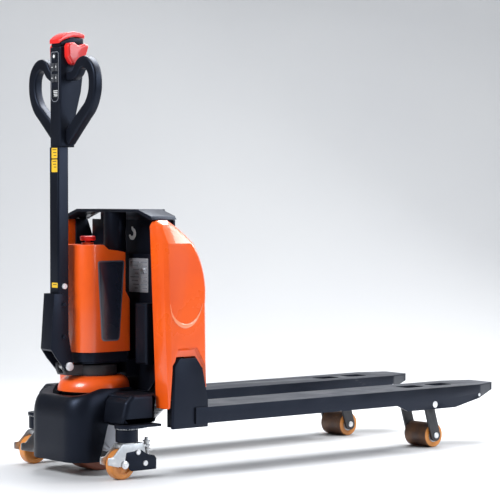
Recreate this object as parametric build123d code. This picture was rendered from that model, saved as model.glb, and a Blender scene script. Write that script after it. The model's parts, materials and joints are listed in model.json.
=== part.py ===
"""Electric pallet truck, modelled as separate pieces and written as one STEP file each.

Lengths are millimetres. While it is built the model stands on Z = 0 with X = 0 at the heel face of
the forks, +X towards the fork tips, +Y to the left and +Z up. On writing, everything moves along X
so that the origin is the middle of the footprint. The forks are raised, the tiller is upright.
"""

import os
from math import asin, atan2, cos, degrees, hypot, radians, sin

from build123d import *

# ---------------------------------------------------------------- overall and forks
OVERALL_WIDTH = 560.0
FORK_LENGTH = 1150.0
FORK_WIDTH = 168.0
FORK_DEPTH = 45.0
FORK_WALL = 5.0
FORK_WRAP = 46.0          # how far the outer fork wall runs back over the heel plate
LOWERED_HEIGHT = 80.0
LIFT = 106.0
BELLY_DEPTH = 64.0        # deeper side walls around the load wheel
BELLY_START = 715.0
BELLY_END = 955.0
BELLY_RAMP = 42.0
TIP_NOSE = 23.0           # height of the blunt fork tip
TIP_WIDTH = 96.0
TIP_TAPER = 90.0
SLOT_LENGTH = 76.0
SLOT_WIDTH = 56.0
SLOT_CENTRES = (842.0, 962.0)

# ---------------------------------------------------------------- load wheels and their linkage
LOAD_WHEEL_DIAMETER = 74.0
LOAD_WHEEL_WIDTH = 94.0
LOAD_HUB_DIAMETER = 42.0
LOAD_AXLE_DIAMETER = 20.0
ROCKER_PIVOT_X = 870.0
ROCKER_PIVOT_DROP = 50.0  # pivot below the fork top
ROCKER_REACH = 30.0       # axle ahead of its pivot when raised
ROCKER_PLATE = 8.0
ROCKER_PIN_DIAMETER = 20.0
LINK_RADIUS = 28.0        # push rod pins about their pivots
LINK_PIN_DIAMETER = 10.0
LINK_EYE_RADIUS = 10.5
PUSH_ROD_DIAMETER = 12.0
CRANK_X = -62.0
CRANK_HEIGHT = 190.0
CRANK_SHAFT_DIAMETER = 20.0
CRANK_LEVER_PLACE = 149.0
CRANK_LEVER_THICKNESS = 6.0
REACTION_PIN_DIAMETER = 12.0
ENTRY_ROLLER_DIAMETER = 24.0
ENTRY_ROLLER_WIDTH = 40.0
ENTRY_ROLLER_X = 1060.0
ENTRY_ROLLER_DROP = 32.0

# ---------------------------------------------------------------- carriage
TOWER_FRONT = -118.0
TOWER_REAR = -8.0
TOWER_INSIDE = 198.0
TOWER_THICKNESS = 6.0
BACK_PLATE_X = -62.0
BACK_PLATE_THICKNESS = 6.0
BACK_PLATE_BOTTOM = 207.0
CARRIAGE_TOP = 703.0
SIDE_COVER_INSIDE = 206.0
SIDE_COVER_OUTSIDE = 275.0
SIDE_COVER_WALL = 3.0
HEEL_PLATE_THICKNESS = 7.0
HEEL_PLATE_GAP = 4.0
BRACKET_TOP = 733.0
BRACKET_THICKNESS = 8.0

# ---------------------------------------------------------------- chassis and steering
STEER_X = -190.0
DRIVE_WHEEL_DIAMETER = 210.0
DRIVE_WHEEL_WIDTH = 70.0
DRIVE_HUB_DIAMETER = 150.0
DRIVE_AXLE_DIAMETER = 30.0
DECK_BOTTOM = 214.0
DECK_THICKNESS = 8.0
BEARING_BORE = 124.0
BEARING_OUTSIDE = 160.0
BEARING_HEIGHT = 10.0
HOOD_DIAMETER = 202.0
HOOD_TOP_DIAMETER = 126.0
HOOD_OFFSET = 6.0
HOOD_TOP = 268.0
HEAD_DIAMETER = 122.0
HEAD_TOP = 299.0
COVER_FRONT = -341.0
COVER_HALF_WIDTH = 126.0
COVER_CORNER = 60.0
COVER_WALL = 3.0
COVER_BOTTOM = 38.0
COVER_SHOULDER = 180.0
COVER_TOP = 246.0
COVER_SIDE_END = -231.0
OUTRIGGER_FRONT = -250.0
OUTRIGGER_REAR = -139.0
OUTRIGGER_HALF_WIDTH = 222.0
OUTRIGGER_BOTTOM = 140.0  # underside of the caster feet
OUTRIGGER_FOOT = 7.0
CHEEK_TOP = 158.0         # top of the brackets that hold the reaction levers
WING_BOTTOM = 148.0       # lower edge of the cover's wings
OUTRIGGER_TOP = 228.0
MAST_X = -78.0
MAST_THICKNESS = 6.0
MAST_HALF_WIDTH = 150.0
MAST_TOP = 606.0
RAIL_WIDTH = 16.0
RAIL_DEPTH = 8.0
SHELF_TOP = 309.0
SHELF_THICKNESS = 6.0

# ---------------------------------------------------------------- casters
CASTER_X = -235.0
CASTER_Y = 216.0
CASTER_TRAIL = 22.0
CASTER_WHEEL_DIAMETER = 82.0
CASTER_WHEEL_WIDTH = 30.0
CASTER_AXLE_DIAMETER = 12.0
CASTER_PLATE = 5.0
CASTER_BLOCK_BOTTOM = 84.0
CASTER_BLOCK_TOP = 97.0
CASTER_HOUSING_DIAMETER = 62.0

# ---------------------------------------------------------------- hydraulics and battery
RAM_X = -121.0
CYLINDER_DIAMETER = 50.0
CYLINDER_TOP = 600.0
RAM_ROD_DIAMETER = 30.0
SHROUD_DIAMETER = 64.0
SHROUD_WALL = 3.0
SHROUD_BOTTOM = 565.0
BATTERY_FRONT = -272.0
BATTERY_REAR = -112.0
BATTERY_UPPER_REAR = -133.0
BATTERY_HALF_WIDTH = 68.0
BATTERY_BOTTOM = 335.0
BATTERY_WAIST = 480.0
BATTERY_TOP = 634.0
BATTERY_CORNER = 40.0
STOP_X = -214.0
STOP_DIAMETER = 44.0
STOP_STEM = 8.0

# ---------------------------------------------------------------- tiller
TILLER_PIVOT_X = -296.0
TILLER_PIVOT_HEIGHT = 297.0
TILLER_PIN_DIAMETER = 16.0
TILLER_FRONT = -328.0
TILLER_DEPTH = 36.0
TILLER_WIDTH = 44.0
TILLER_WALL = 3.0
TILLER_TOP = 905.0
CHANNEL_FRONT_TOP = -344.0
CHANNEL_FRONT_LOW = -355.0
CHANNEL_REAR = -305.0
CHANNEL_TOP = 500.0
CHANNEL_WALL = 4.0
HEAD_FRONT = -322.0
HEAD_REAR_TOP = -240.0
HEAD_HALF_WIDTH = 26.0
HEAD_HIGH = 1193.0
GRIP_X = -290.0
GRIP_HALF_WIDTH = 166.0
GRIP_DEPTH = 28.0
GRIP_HIGH = 1155.0
BELLY_TRAVEL = 8.0
STEM_REACH = 298.0        # the belly button's stem, ahead of the heel
THROTTLE_X = -272.0
THROTTLE_Z = 1163.0
THROTTLE_SHAFT_DIAMETER = 14.0
BUTTON_TRAVEL = 2.0

# ---------------------------------------------------------------- fits
RUNNING = 0.05            # radial clearance of a shaft in its bore
SEAT = 0.5                # gap between faces that pass each other
SMALL = 0.3               # gap around small moulded pieces

# ---------------------------------------------------------------- worked out from the above
RAISED_HEIGHT = LOWERED_HEIGHT + LIFT
FORK_Y = (OVERALL_WIDTH - FORK_WIDTH) / 2
FORK_UNDER = RAISED_HEIGHT - FORK_DEPTH
ROCKER_PIVOT_Z = RAISED_HEIGHT - ROCKER_PIVOT_DROP
LOAD_AXLE_Z = LOAD_WHEEL_DIAMETER / 2
LOAD_AXLE_X = ROCKER_PIVOT_X + ROCKER_REACH
ROCKER_DROP = ROCKER_PIVOT_Z - LOAD_AXLE_Z
ROCKER_ARM = hypot(ROCKER_REACH, ROCKER_DROP)
ROCKER_TURN = degrees(atan2(ROCKER_DROP, ROCKER_REACH) + asin((LIFT - ROCKER_DROP) / ROCKER_ARM))
LINK_TILT = radians(ROCKER_TURN / 2)
LINK_OUT = LINK_RADIUS * sin(LINK_TILT)
LINK_UP = LINK_RADIUS * cos(LINK_TILT)
LEVER_LENGTH = LIFT / 2 / sin(LINK_TILT)
LEVER_OUT = LEVER_LENGTH * cos(LINK_TILT)
REACTION_Z = CRANK_HEIGHT - LIFT / 2
DRIVE_AXLE_Z = DRIVE_WHEEL_DIAMETER / 2
DECK_TOP = DECK_BOTTOM + DECK_THICKNESS
BEARING_TOP = DECK_TOP + BEARING_HEIGHT
CASTER_AXLE_X = CASTER_X - CASTER_TRAIL
CASTER_AXLE_Z = CASTER_WHEEL_DIAMETER / 2
HEEL_X = -(FORK_LENGTH + CHANNEL_FRONT_LOW) / 2


# ---------------------------------------------------------------- small helpers
def block(x0, x1, y0, y1, z0, z1):
    """A box between two corners."""
    centre = Pos((x0 + x1) / 2, (y0 + y1) / 2, (z0 + z1) / 2)
    return centre * Box(abs(x1 - x0), abs(y1 - y0), abs(z1 - z0))


def upright(x, y, radius, z0, z1):
    """A round bar along Z."""
    return Pos(x, y, (z0 + z1) / 2) * Cylinder(radius, z1 - z0)


def crossbar(x, z, radius, y0, y1):
    """A round bar along Y."""
    return Pos(x, (y0 + y1) / 2, z) * Rot(90, 0, 0) * Cylinder(radius, abs(y1 - y0))


def level(x0, x1, y, z, radius):
    """A round bar along X."""
    return Pos((x0 + x1) / 2, y, z) * Rot(0, 90, 0) * Cylinder(radius, x1 - x0)


def outline(*points):
    """A flat face with straight sides through the points."""
    return make_face(Polyline(*points, close=True))


def side_plate(face, y0, y1):
    """A face drawn in X and Z, thickened from y0 to y1."""
    return extrude(Plane(origin=(0, y1, 0), x_dir=(1, 0, 0), z_dir=(0, -1, 0)) * face, y1 - y0)


def front_plate(face, x0, x1):
    """A face drawn in Y and Z, thickened from x0 to x1."""
    return extrude(Plane(origin=(x0, 0, 0), x_dir=(0, 1, 0), z_dir=(1, 0, 0)) * face, x1 - x0)


def flat_plate(face, z0, z1):
    """A face drawn in X and Y, thickened from z0 to z1."""
    return extrude(Plane.XY.offset(z0) * face, z1 - z0)


def link(x0, z0, x1, z1, radius, y0, y1):
    """A bar with round ends between two points seen from the side."""
    middle = Pos((x0 + x1) / 2, (z0 + z1) / 2)
    turn = Rot(0, 0, degrees(atan2(z1 - z0, x1 - x0)))
    face = middle * turn * SlotCenterToCenter(hypot(x1 - x0, z1 - z0), 2 * radius)
    return side_plate(face, y0, y1)


def other_side(piece):
    """The same piece on the right-hand side."""
    return mirror(piece, about=Plane.XZ)


def both(piece):
    """The piece and its mirror image across the middle, as separate solids."""
    return Compound(children=[*piece.solids(), *other_side(piece).solids()])


# ---------------------------------------------------------------- forks, left side first
def fork():
    """A pressed channel, open below, with deep cheeks at the load wheel and a blunt tip."""
    top = RAISED_HEIGHT
    belly = top - BELLY_DEPTH
    inside = FORK_Y - FORK_WIDTH / 2
    outside = FORK_Y + FORK_WIDTH / 2
    profile = outline(
        (-FORK_WRAP, top), (FORK_LENGTH, top), (FORK_LENGTH, top - TIP_NOSE), (BELLY_END, belly),
        (BELLY_START + BELLY_RAMP, belly), (BELLY_START, FORK_UNDER), (-FORK_WRAP, FORK_UNDER))
    body = side_plate(profile, inside, outside)
    hollow = outline(
        (-FORK_WRAP - 1, top - FORK_WALL), (FORK_LENGTH - 2 * FORK_WALL, top - FORK_WALL),
        (FORK_LENGTH - 2 * FORK_WALL, belly - 1), (-FORK_WRAP - 1, belly - 1))
    body -= side_plate(hollow, inside + FORK_WALL, outside - FORK_WALL)
    half_tip = TIP_WIDTH / 2
    for way in (1, -1):
        corner = outline(
            (FORK_LENGTH - TIP_TAPER, FORK_Y + way * FORK_WIDTH / 2),
            (FORK_LENGTH + 1, FORK_Y + way * half_tip),
            (FORK_LENGTH + 1, FORK_Y + way * FORK_WIDTH),
            (FORK_LENGTH - TIP_TAPER, FORK_Y + way * FORK_WIDTH))
        body -= flat_plate(corner, belly - 1, top + 1)
        cheek = outline(
            (FORK_LENGTH - TIP_TAPER, FORK_Y + way * FORK_WIDTH / 2),
            (FORK_LENGTH, FORK_Y + way * half_tip),
            (FORK_LENGTH - FORK_WALL, FORK_Y + way * (half_tip - FORK_WALL)),
            (FORK_LENGTH - TIP_TAPER, FORK_Y + way * (FORK_WIDTH / 2 - FORK_WALL)))
        wall = flat_plate(cheek, belly, top)
        body += wall & side_plate(profile, inside, outside)
    for middle in SLOT_CENTRES:
        slot = Pos(middle, FORK_Y) * RectangleRounded(SLOT_LENGTH, SLOT_WIDTH, 12)
        body -= flat_plate(slot, top - FORK_WALL - 1, top + 1)
    body -= block(-FORK_WRAP - 1, 0, inside - 1, outside - FORK_WALL, FORK_UNDER - 1, top + 1)
    reach = FORK_WIDTH
    body -= crossbar(ROCKER_PIVOT_X, ROCKER_PIVOT_Z, ROCKER_PIN_DIAMETER / 2,
                     FORK_Y - reach, FORK_Y + reach)
    body -= crossbar(ENTRY_ROLLER_X, top - ENTRY_ROLLER_DROP, 5, FORK_Y - reach, FORK_Y + reach)
    return body


def fork_pins():
    """The pin that a rocker swings on, headed inside the cheeks, and the entry roller's pin."""
    half = FORK_WIDTH / 2
    pin = crossbar(ROCKER_PIVOT_X, ROCKER_PIVOT_Z, ROCKER_PIN_DIAMETER / 2, FORK_Y - half, FORK_Y + half)
    for way in (1, -1):
        inner = FORK_Y + way * (half - FORK_WALL)
        pin += crossbar(ROCKER_PIVOT_X, ROCKER_PIVOT_Z, 14, inner, inner - way * 4)
    z = RAISED_HEIGHT - ENTRY_ROLLER_DROP
    return Compound(children=[pin, crossbar(ENTRY_ROLLER_X, z, 5, FORK_Y - half, FORK_Y + half)])


def entry_roller():
    """A small roller that helps the tip into a pallet."""
    z = RAISED_HEIGHT - ENTRY_ROLLER_DROP
    half = ENTRY_ROLLER_WIDTH / 2
    roller = crossbar(ENTRY_ROLLER_X, z, ENTRY_ROLLER_DIAMETER / 2, FORK_Y - half, FORK_Y + half)
    return roller - crossbar(ENTRY_ROLLER_X, z, 5 + RUNNING, FORK_Y - half, FORK_Y + half)


def rocker():
    """The swinging frame between the fork cheeks that holds a load wheel."""
    inner = LOAD_WHEEL_WIDTH / 2 + 2
    outer = inner + ROCKER_PLATE
    body = None
    for way in (1, -1):
        y0, y1 = sorted((FORK_Y + way * inner, FORK_Y + way * outer))
        plate = link(ROCKER_PIVOT_X, ROCKER_PIVOT_Z, LOAD_AXLE_X, LOAD_AXLE_Z, 18, y0, y1)
        body = plate if body is None else body + plate
    body += crossbar(ROCKER_PIVOT_X, ROCKER_PIVOT_Z, 13, FORK_Y - outer, FORK_Y + outer)
    for way in (1, -1):
        y0, y1 = sorted((FORK_Y + way * 18, FORK_Y + way * outer))
        body += crossbar(ROCKER_PIVOT_X, ROCKER_PIVOT_Z, 16, y0, y1)
        y0, y1 = sorted((FORK_Y + way * 8.5, FORK_Y + way * 16))
        body += link(ROCKER_PIVOT_X, ROCKER_PIVOT_Z, ROCKER_PIVOT_X + LINK_OUT,
                     ROCKER_PIVOT_Z + LINK_UP, 10, y0, y1)
    body += crossbar(ROCKER_PIVOT_X + LINK_OUT, ROCKER_PIVOT_Z + LINK_UP,
                     LINK_PIN_DIAMETER / 2, FORK_Y - 16, FORK_Y + 16)
    bore = ROCKER_PIN_DIAMETER / 2 + RUNNING
    body -= crossbar(ROCKER_PIVOT_X, ROCKER_PIVOT_Z, bore, FORK_Y - outer, FORK_Y + outer)
    body += crossbar(LOAD_AXLE_X, LOAD_AXLE_Z, LOAD_AXLE_DIAMETER / 2, FORK_Y - outer, FORK_Y + outer)
    return body


def load_tyre():
    """The polyurethane tread of a load wheel, with rounded shoulders."""
    half = LOAD_WHEEL_WIDTH / 2
    tread = crossbar(LOAD_AXLE_X, LOAD_AXLE_Z, LOAD_WHEEL_DIAMETER / 2, FORK_Y - half, FORK_Y + half)
    tread = fillet(tread.edges().filter_by(GeomType.CIRCLE), 4)
    return tread - crossbar(LOAD_AXLE_X, LOAD_AXLE_Z, LOAD_HUB_DIAMETER / 2, FORK_Y - half, FORK_Y + half)


def load_hub():
    """The steel core of a load wheel, bored for its axle."""
    half = LOAD_WHEEL_WIDTH / 2
    core = crossbar(LOAD_AXLE_X, LOAD_AXLE_Z, LOAD_HUB_DIAMETER / 2, FORK_Y - half, FORK_Y + half)
    bore = LOAD_AXLE_DIAMETER / 2 + RUNNING
    return core - crossbar(LOAD_AXLE_X, LOAD_AXLE_Z, bore, FORK_Y - half, FORK_Y + half)


def torsion_crank():
    """The cross shaft at the heel with an arm pair for each push rod and two reaction levers."""
    shaft = crossbar(CRANK_X, CRANK_HEIGHT, CRANK_SHAFT_DIAMETER / 2, -FORK_Y - 18, FORK_Y + 18)
    for side in (1, -1):
        for way in (1, -1):
            y0, y1 = sorted((side * FORK_Y + way * 8.5, side * FORK_Y + way * 16))
            shaft += link(CRANK_X, CRANK_HEIGHT, CRANK_X + LINK_OUT, CRANK_HEIGHT - LINK_UP, 10, y0, y1)
        shaft += crossbar(CRANK_X + LINK_OUT, CRANK_HEIGHT - LINK_UP, LINK_PIN_DIAMETER / 2,
                          side * FORK_Y - 16, side * FORK_Y + 16)
        y0, y1 = sorted((side * CRANK_LEVER_PLACE, side * (CRANK_LEVER_PLACE + CRANK_LEVER_THICKNESS)))
        shaft += link(CRANK_X, CRANK_HEIGHT, CRANK_X - LEVER_OUT, REACTION_Z, 12, y0, y1)
        shaft += crossbar(CRANK_X - LEVER_OUT, REACTION_Z, REACTION_PIN_DIAMETER / 2,
                          side * (CRANK_LEVER_PLACE - 12), side * (CRANK_LEVER_PLACE + 1))
    return shaft


def push_rod():
    """The rod inside a fork: a bored eye on the crank pin and a hook, open below, over the rocker pin."""
    x0 = CRANK_X + LINK_OUT
    z0 = CRANK_HEIGHT - LINK_UP
    x1 = ROCKER_PIVOT_X + LINK_OUT
    z1 = ROCKER_PIVOT_Z + LINK_UP
    rise = 2 * (LINK_RADIUS - LINK_UP)
    gap = LINK_PIN_DIAMETER / 2 + SEAT
    bar_z = z1 + 9
    slope = degrees(atan2(bar_z - z0, x1 - 10 - x0))
    bar = level(8, x1 - 10 - x0, 0, 0, PUSH_ROD_DIAMETER / 2)
    body = Pos(x0, FORK_Y, z0) * Rot(0, -slope, 0) * bar
    body += crossbar(x0, z0, LINK_EYE_RADIUS, FORK_Y - 8, FORK_Y + 8)
    hook = block(x1 - 13, x1 + 10, FORK_Y - 8, FORK_Y + 8, z1 - 3, z1 + rise + gap + 4)
    hook -= block(x1 - gap, x1 + gap, FORK_Y - 9, FORK_Y + 9, z1 - 4, z1 + rise)
    hook -= crossbar(x1, z1 + rise, gap, FORK_Y - 9, FORK_Y + 9)
    body += hook
    return body - crossbar(x0, z0, LINK_PIN_DIAMETER / 2 + RUNNING, FORK_Y - 9, FORK_Y + 9)


# ---------------------------------------------------------------- carriage
def back_plate():
    """The welded carriage: back plate, two side towers, heel webs and crank bearing blocks."""
    back = block(BACK_PLATE_X, BACK_PLATE_X + BACK_PLATE_THICKNESS, -TOWER_INSIDE, TOWER_INSIDE,
                 BACK_PLATE_BOTTOM, CARRIAGE_TOP)
    for side in (1, -1):
        inner = side * TOWER_INSIDE
        outer = side * (TOWER_INSIDE + TOWER_THICKNESS)
        tower = outline(
            (TOWER_FRONT, BACK_PLATE_BOTTOM + 20), (TOWER_FRONT + 20, BACK_PLATE_BOTTOM),
            (TOWER_REAR, BACK_PLATE_BOTTOM), (TOWER_REAR, 500), (TOWER_REAR - 70, CARRIAGE_TOP),
            (TOWER_FRONT, CARRIAGE_TOP))
        back += side_plate(tower, min(inner, outer), max(inner, outer))
        inner_web = side * (FORK_Y - FORK_WIDTH / 2)
        web = block(TOWER_REAR, 0, inner_web, outer, FORK_UNDER, BACK_PLATE_BOTTOM + 30)
        web -= block(TOWER_REAR - 1, 1, side * FORK_Y - 14, side * FORK_Y + 14,
                     FORK_UNDER - 1, RAISED_HEIGHT - FORK_WALL)
        back += web
        place = side * 168
        ear = outline(
            (CRANK_X - 16, CRANK_HEIGHT - 15), (CRANK_X + 16, CRANK_HEIGHT - 15),
            (CRANK_X + 16, BACK_PLATE_BOTTOM + 18), (CRANK_X - 12, BACK_PLATE_BOTTOM + 18))
        back += side_plate(ear, place - 6, place + 6)
    shaft = CRANK_SHAFT_DIAMETER / 2 + RUNNING
    return back - crossbar(CRANK_X, CRANK_HEIGHT, shaft, -FORK_Y, FORK_Y)


def heel_outline(gap=0.0):
    """The tapered outline of a heel plate, with an even gap around its top and sides."""
    foot = FORK_UNDER - 10
    return outline(
        (-124 - gap, foot), (-1 + gap, foot), (-1 + gap, 205), (-8 + gap, 240),
        (-20 + gap, 294 + gap / 2), (-42 + gap / 2, 324 + gap), (-104 - gap / 2, 324 + gap),
        (-119 - gap, 304 + gap / 2))


def heel_plate():
    """The bevelled steel plate that ties a fork to its tower."""
    outer = SIDE_COVER_OUTSIDE
    plate = side_plate(heel_outline(), outer - HEEL_PLATE_THICKNESS, outer)
    face = plate.faces().sort_by(Axis.Y)[-1]
    plate = chamfer(face.edges().sort_by(Axis.X)[:2], 5)
    foot = FORK_UNDER - 10
    plate += block(-100, -20, FORK_Y + 22, outer - HEEL_PLATE_THICKNESS, foot, foot + 8)
    plate += block(-100, -92, FORK_Y + 22, outer - HEEL_PLATE_THICKNESS, foot, BACK_PLATE_BOTTOM)
    return plate


def side_cover_outline():
    """The side view of a side cover: a leaning front edge and a swept back."""
    front = Line((-130, 186), (-150, 676))
    crown = ThreePointArc((-150, 676), (-146, 696), (-134, CARRIAGE_TOP))
    top = Line((-134, CARRIAGE_TOP), (-108, CARRIAGE_TOP))
    sweep = ThreePointArc((-108, CARRIAGE_TOP), (-37, 628), (-2, 470))
    rear = Polyline((-2, 470), (2, 210), (-30, 186), (-130, 186))
    return make_face(Curve() + [front, crown, top, sweep, rear])


def side_cover():
    """The moulded cover over a tower, hollow towards the middle, with an arch for the heel plate."""
    bevel = 12
    outer = SIDE_COVER_OUTSIDE
    body = side_plate(side_cover_outline(), SIDE_COVER_INSIDE, outer)
    body = chamfer(body.faces().sort_by(Axis.Y)[-1].edges(), bevel)
    hollow = offset(side_cover_outline(), -SIDE_COVER_WALL, kind=Kind.INTERSECTION)
    body -= side_plate(hollow, SIDE_COVER_INSIDE - 1, outer - bevel - 1)
    hollow = offset(side_cover_outline(), -bevel - SIDE_COVER_WALL, kind=Kind.INTERSECTION)
    body -= side_plate(hollow, outer - bevel - 2, outer - SIDE_COVER_WALL)
    body -= side_plate(heel_outline(HEEL_PLATE_GAP), SIDE_COVER_INSIDE - 1, outer + 1)
    return body - block(-112, 10, SIDE_COVER_INSIDE - 1, outer + 1, 150, 240)


def top_bracket():
    """The bent cross plate over both towers that the ram lifts."""
    half = TOWER_INSIDE + TOWER_THICKNESS + 14
    low = CARRIAGE_TOP
    thick = BRACKET_THICKNESS
    rim = outline(
        (-half, low + 2), (-half + 8, low + 12), (-150, BRACKET_TOP), (150, BRACKET_TOP),
        (half - 8, low + 12), (half, low + 2), (half - 12, low), (half - 14, low + 3),
        (148, BRACKET_TOP - thick), (-148, BRACKET_TOP - thick), (-half + 14, low + 3), (-half + 12, low))
    plate = front_plate(rim, -150, -66)
    for side in (1, -1):
        plate += block(TOWER_FRONT + 12, TOWER_REAR - 74, side * TOWER_INSIDE,
                       side * (TOWER_INSIDE + TOWER_THICKNESS), low, low + 12)
    lip = block(-66, BACK_PLATE_X + BACK_PLATE_THICKNESS, -150, 150, low, BRACKET_TOP)
    return plate + lip


def ram_shroud():
    """The black sleeve that hangs from the bracket and slides over the cylinder."""
    z1 = BRACKET_TOP - BRACKET_THICKNESS
    sleeve = upright(RAM_X, 0, SHROUD_DIAMETER / 2, SHROUD_BOTTOM, z1)
    return sleeve - upright(RAM_X, 0, SHROUD_DIAMETER / 2 - SHROUD_WALL, SHROUD_BOTTOM - 1, z1 - 5)


def lift_rod():
    """The plated ram rod, screwed to the shroud's crown and running in the cylinder."""
    z1 = BRACKET_TOP - BRACKET_THICKNESS - 5
    z0 = CYLINDER_TOP - LIFT - 24
    return upright(RAM_X, 0, RAM_ROD_DIAMETER / 2, z0, z1)


def guide_shoes():
    """Four plastic shoes on the back plate that run along the mast rails."""
    shoes = []
    face = MAST_X + MAST_THICKNESS
    for side in (1, -1):
        for z in (400, 540):
            middle = side * (MAST_HALF_WIDTH - RAIL_WIDTH)
            half = RAIL_WIDTH / 2
            shoe = block(face + SEAT, BACK_PLATE_X, middle - half - 9, middle + half + 9, z, z + 44)
            shoe -= block(face, face + RAIL_DEPTH + SEAT, middle - half - SEAT, middle + half + SEAT,
                          z - 1, z + 45)
            shoes.append(shoe)
    return Compound(children=shoes)


# ---------------------------------------------------------------- chassis
def chassis_frame():
    """The welded deck around the steering bearing, its outriggers and the reaction brackets."""
    plan = Pos(STEER_X, 0) * Circle(92)
    plan += Pos((STEER_X + MAST_X) / 2, 0) * Rectangle(MAST_X - STEER_X, 200)
    plan += Pos((OUTRIGGER_FRONT + 22 + OUTRIGGER_REAR - 6) / 2, 0) * Rectangle(
        OUTRIGGER_REAR - OUTRIGGER_FRONT - 28, 2 * (OUTRIGGER_HALF_WIDTH - 17))
    plan -= Pos(STEER_X, 0) * Circle(BEARING_BORE / 2 + 8)
    frame = flat_plate(plan, DECK_BOTTOM, DECK_TOP)
    for side in (1, -1):
        web = side * 133
        frame += block(OUTRIGGER_FRONT + 22, OUTRIGGER_REAR - 6, web - 3, web + 3,
                       OUTRIGGER_BOTTOM, DECK_BOTTOM)
        foot = Pos(CASTER_X, side * CASTER_Y) * Circle(34)
        foot += Pos((CASTER_X + OUTRIGGER_REAR - 4) / 2, side * 190) * Rectangle(
            OUTRIGGER_REAR - 4 - CASTER_X, 120)
        frame += flat_plate(foot, OUTRIGGER_BOTTOM, OUTRIGGER_BOTTOM + OUTRIGGER_FOOT)
        place = side * (CRANK_LEVER_PLACE - 8)
        tip = CRANK_X - LEVER_OUT
        cheek = block(CRANK_X - LEVER_LENGTH - 12, tip + 12, place - 3, place + 3,
                      REACTION_Z - 14, CHEEK_TOP)
        gap = REACTION_PIN_DIAMETER / 2 + 2.5
        cheek -= block(CRANK_X - LEVER_LENGTH, tip, place - 4, place + 4,
                       REACTION_Z - gap, REACTION_Z + gap)
        for end in (CRANK_X - LEVER_LENGTH, tip):
            cheek -= crossbar(end, REACTION_Z, gap, place - 4, place + 4)
        lever_y = sorted((side * (CRANK_LEVER_PLACE - 12.5), side * (CRANK_LEVER_PLACE + CRANK_LEVER_THICKNESS + 2)))
        frame -= block(CRANK_X - LEVER_LENGTH - 16, OUTRIGGER_REAR, *lever_y,
                       OUTRIGGER_BOTTOM - 1, OUTRIGGER_BOTTOM + OUTRIGGER_FOOT + 6)
        frame += cheek
        frame += block(tip - 20, tip + 12, min(web, place), max(web, place), CHEEK_TOP - 8, CHEEK_TOP)
    return frame


def chassis_mast():
    """The upright plate behind the deck, with two rails and the shelf for battery and cylinder."""
    plan = outline(
        (-MAST_HALF_WIDTH, DECK_BOTTOM + 60), (-98, DECK_TOP), (98, DECK_TOP),
        (MAST_HALF_WIDTH, DECK_BOTTOM + 60), (MAST_HALF_WIDTH, MAST_TOP), (-MAST_HALF_WIDTH, MAST_TOP))
    mast = front_plate(plan, MAST_X, MAST_X + MAST_THICKNESS)
    face = MAST_X + MAST_THICKNESS
    for side in (1, -1):
        middle = side * (MAST_HALF_WIDTH - RAIL_WIDTH)
        mast += block(face, face + RAIL_DEPTH, middle - RAIL_WIDTH / 2, middle + RAIL_WIDTH / 2,
                      285, MAST_TOP - 14)
        mast += block(MAST_X - 42, MAST_X, side * 56, side * 50, 262, SHELF_TOP - SHELF_THICKNESS)
    shelf = Pos((BATTERY_FRONT + 12 + MAST_X) / 2, 0) * Rectangle(MAST_X - BATTERY_FRONT - 12, 112)
    mast += flat_plate(fillet(shelf.vertices().sort_by(Axis.X)[:2], 30), SHELF_TOP - SHELF_THICKNESS, SHELF_TOP)
    return mast


def deck_slope():
    """Everything above the sloping top of the drive cover."""
    ramp = outline((-360, 212), (STEER_X - 40, COVER_TOP), (0, COVER_TOP), (0, 400), (-360, 400))
    return side_plate(ramp, -300, 300)


def cover_form(inset):
    """The outer form of the drive cover, drawn in by an inset: a tub, a drawn-in crown and two wings."""
    half = COVER_HALF_WIDTH - inset
    front = COVER_FRONT + inset
    rear = OUTRIGGER_REAR - inset
    plan = Pos((front + rear) / 2, 0) * Rectangle(rear - front, 2 * half)
    corners = plan.vertices().sort_by(Axis.X)[:2]
    plan = fillet(corners, COVER_CORNER - inset)
    form = flat_plate(plan, COVER_BOTTOM - (1 if inset else 0), COVER_SHOULDER)
    crown = Pos((front + rear) / 2 + 6, 0) * Rectangle(rear - front - 12, 2 * half - 22)
    crown = fillet(crown.vertices().sort_by(Axis.X)[:2], COVER_CORNER + 12 - inset)
    top = COVER_TOP - inset
    form += loft([Plane.XY.offset(COVER_SHOULDER) * plan, Plane.XY.offset(top) * crown])
    wing = outline(
        (-OUTRIGGER_HALF_WIDTH + inset, WING_BOTTOM - (1 if inset else 0)),
        (OUTRIGGER_HALF_WIDTH - inset, WING_BOTTOM - (1 if inset else 0)),
        (OUTRIGGER_HALF_WIDTH - inset, OUTRIGGER_TOP - 14 - inset),
        (OUTRIGGER_HALF_WIDTH - 14 - inset, OUTRIGGER_TOP - inset),
        (-OUTRIGGER_HALF_WIDTH + 14 + inset, OUTRIGGER_TOP - inset),
        (-OUTRIGGER_HALF_WIDTH + inset, OUTRIGGER_TOP - 14 - inset))
    wing = front_plate(wing, OUTRIGGER_FRONT + inset, rear)
    nose = wing.edges().filter_by(Axis.Z).sort_by(Axis.X)[:2]
    return form + chamfer(nose, 16)


def drive_cover():
    """The moulded cover of the drive end, open below and behind, with a round hole for the hood."""
    outer = cover_form(0)
    inner = cover_form(COVER_WALL)
    slope = deck_slope()
    cover = (outer - slope) - (inner - Pos(0, 0, -COVER_WALL) * slope)
    cover -= upright(STEER_X, 0, HOOD_DIAMETER / 2 + HOOD_OFFSET + 12, 190, 300)
    cover -= block(OUTRIGGER_REAR - COVER_WALL, 0, -300, 300, 0, 300)
    rear = outline((COVER_SIDE_END, WING_BOTTOM), (-262, COVER_BOTTOM - 2), (0, 0), (0, WING_BOTTOM))
    return cover - side_plate(rear, -300, 300)


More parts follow.
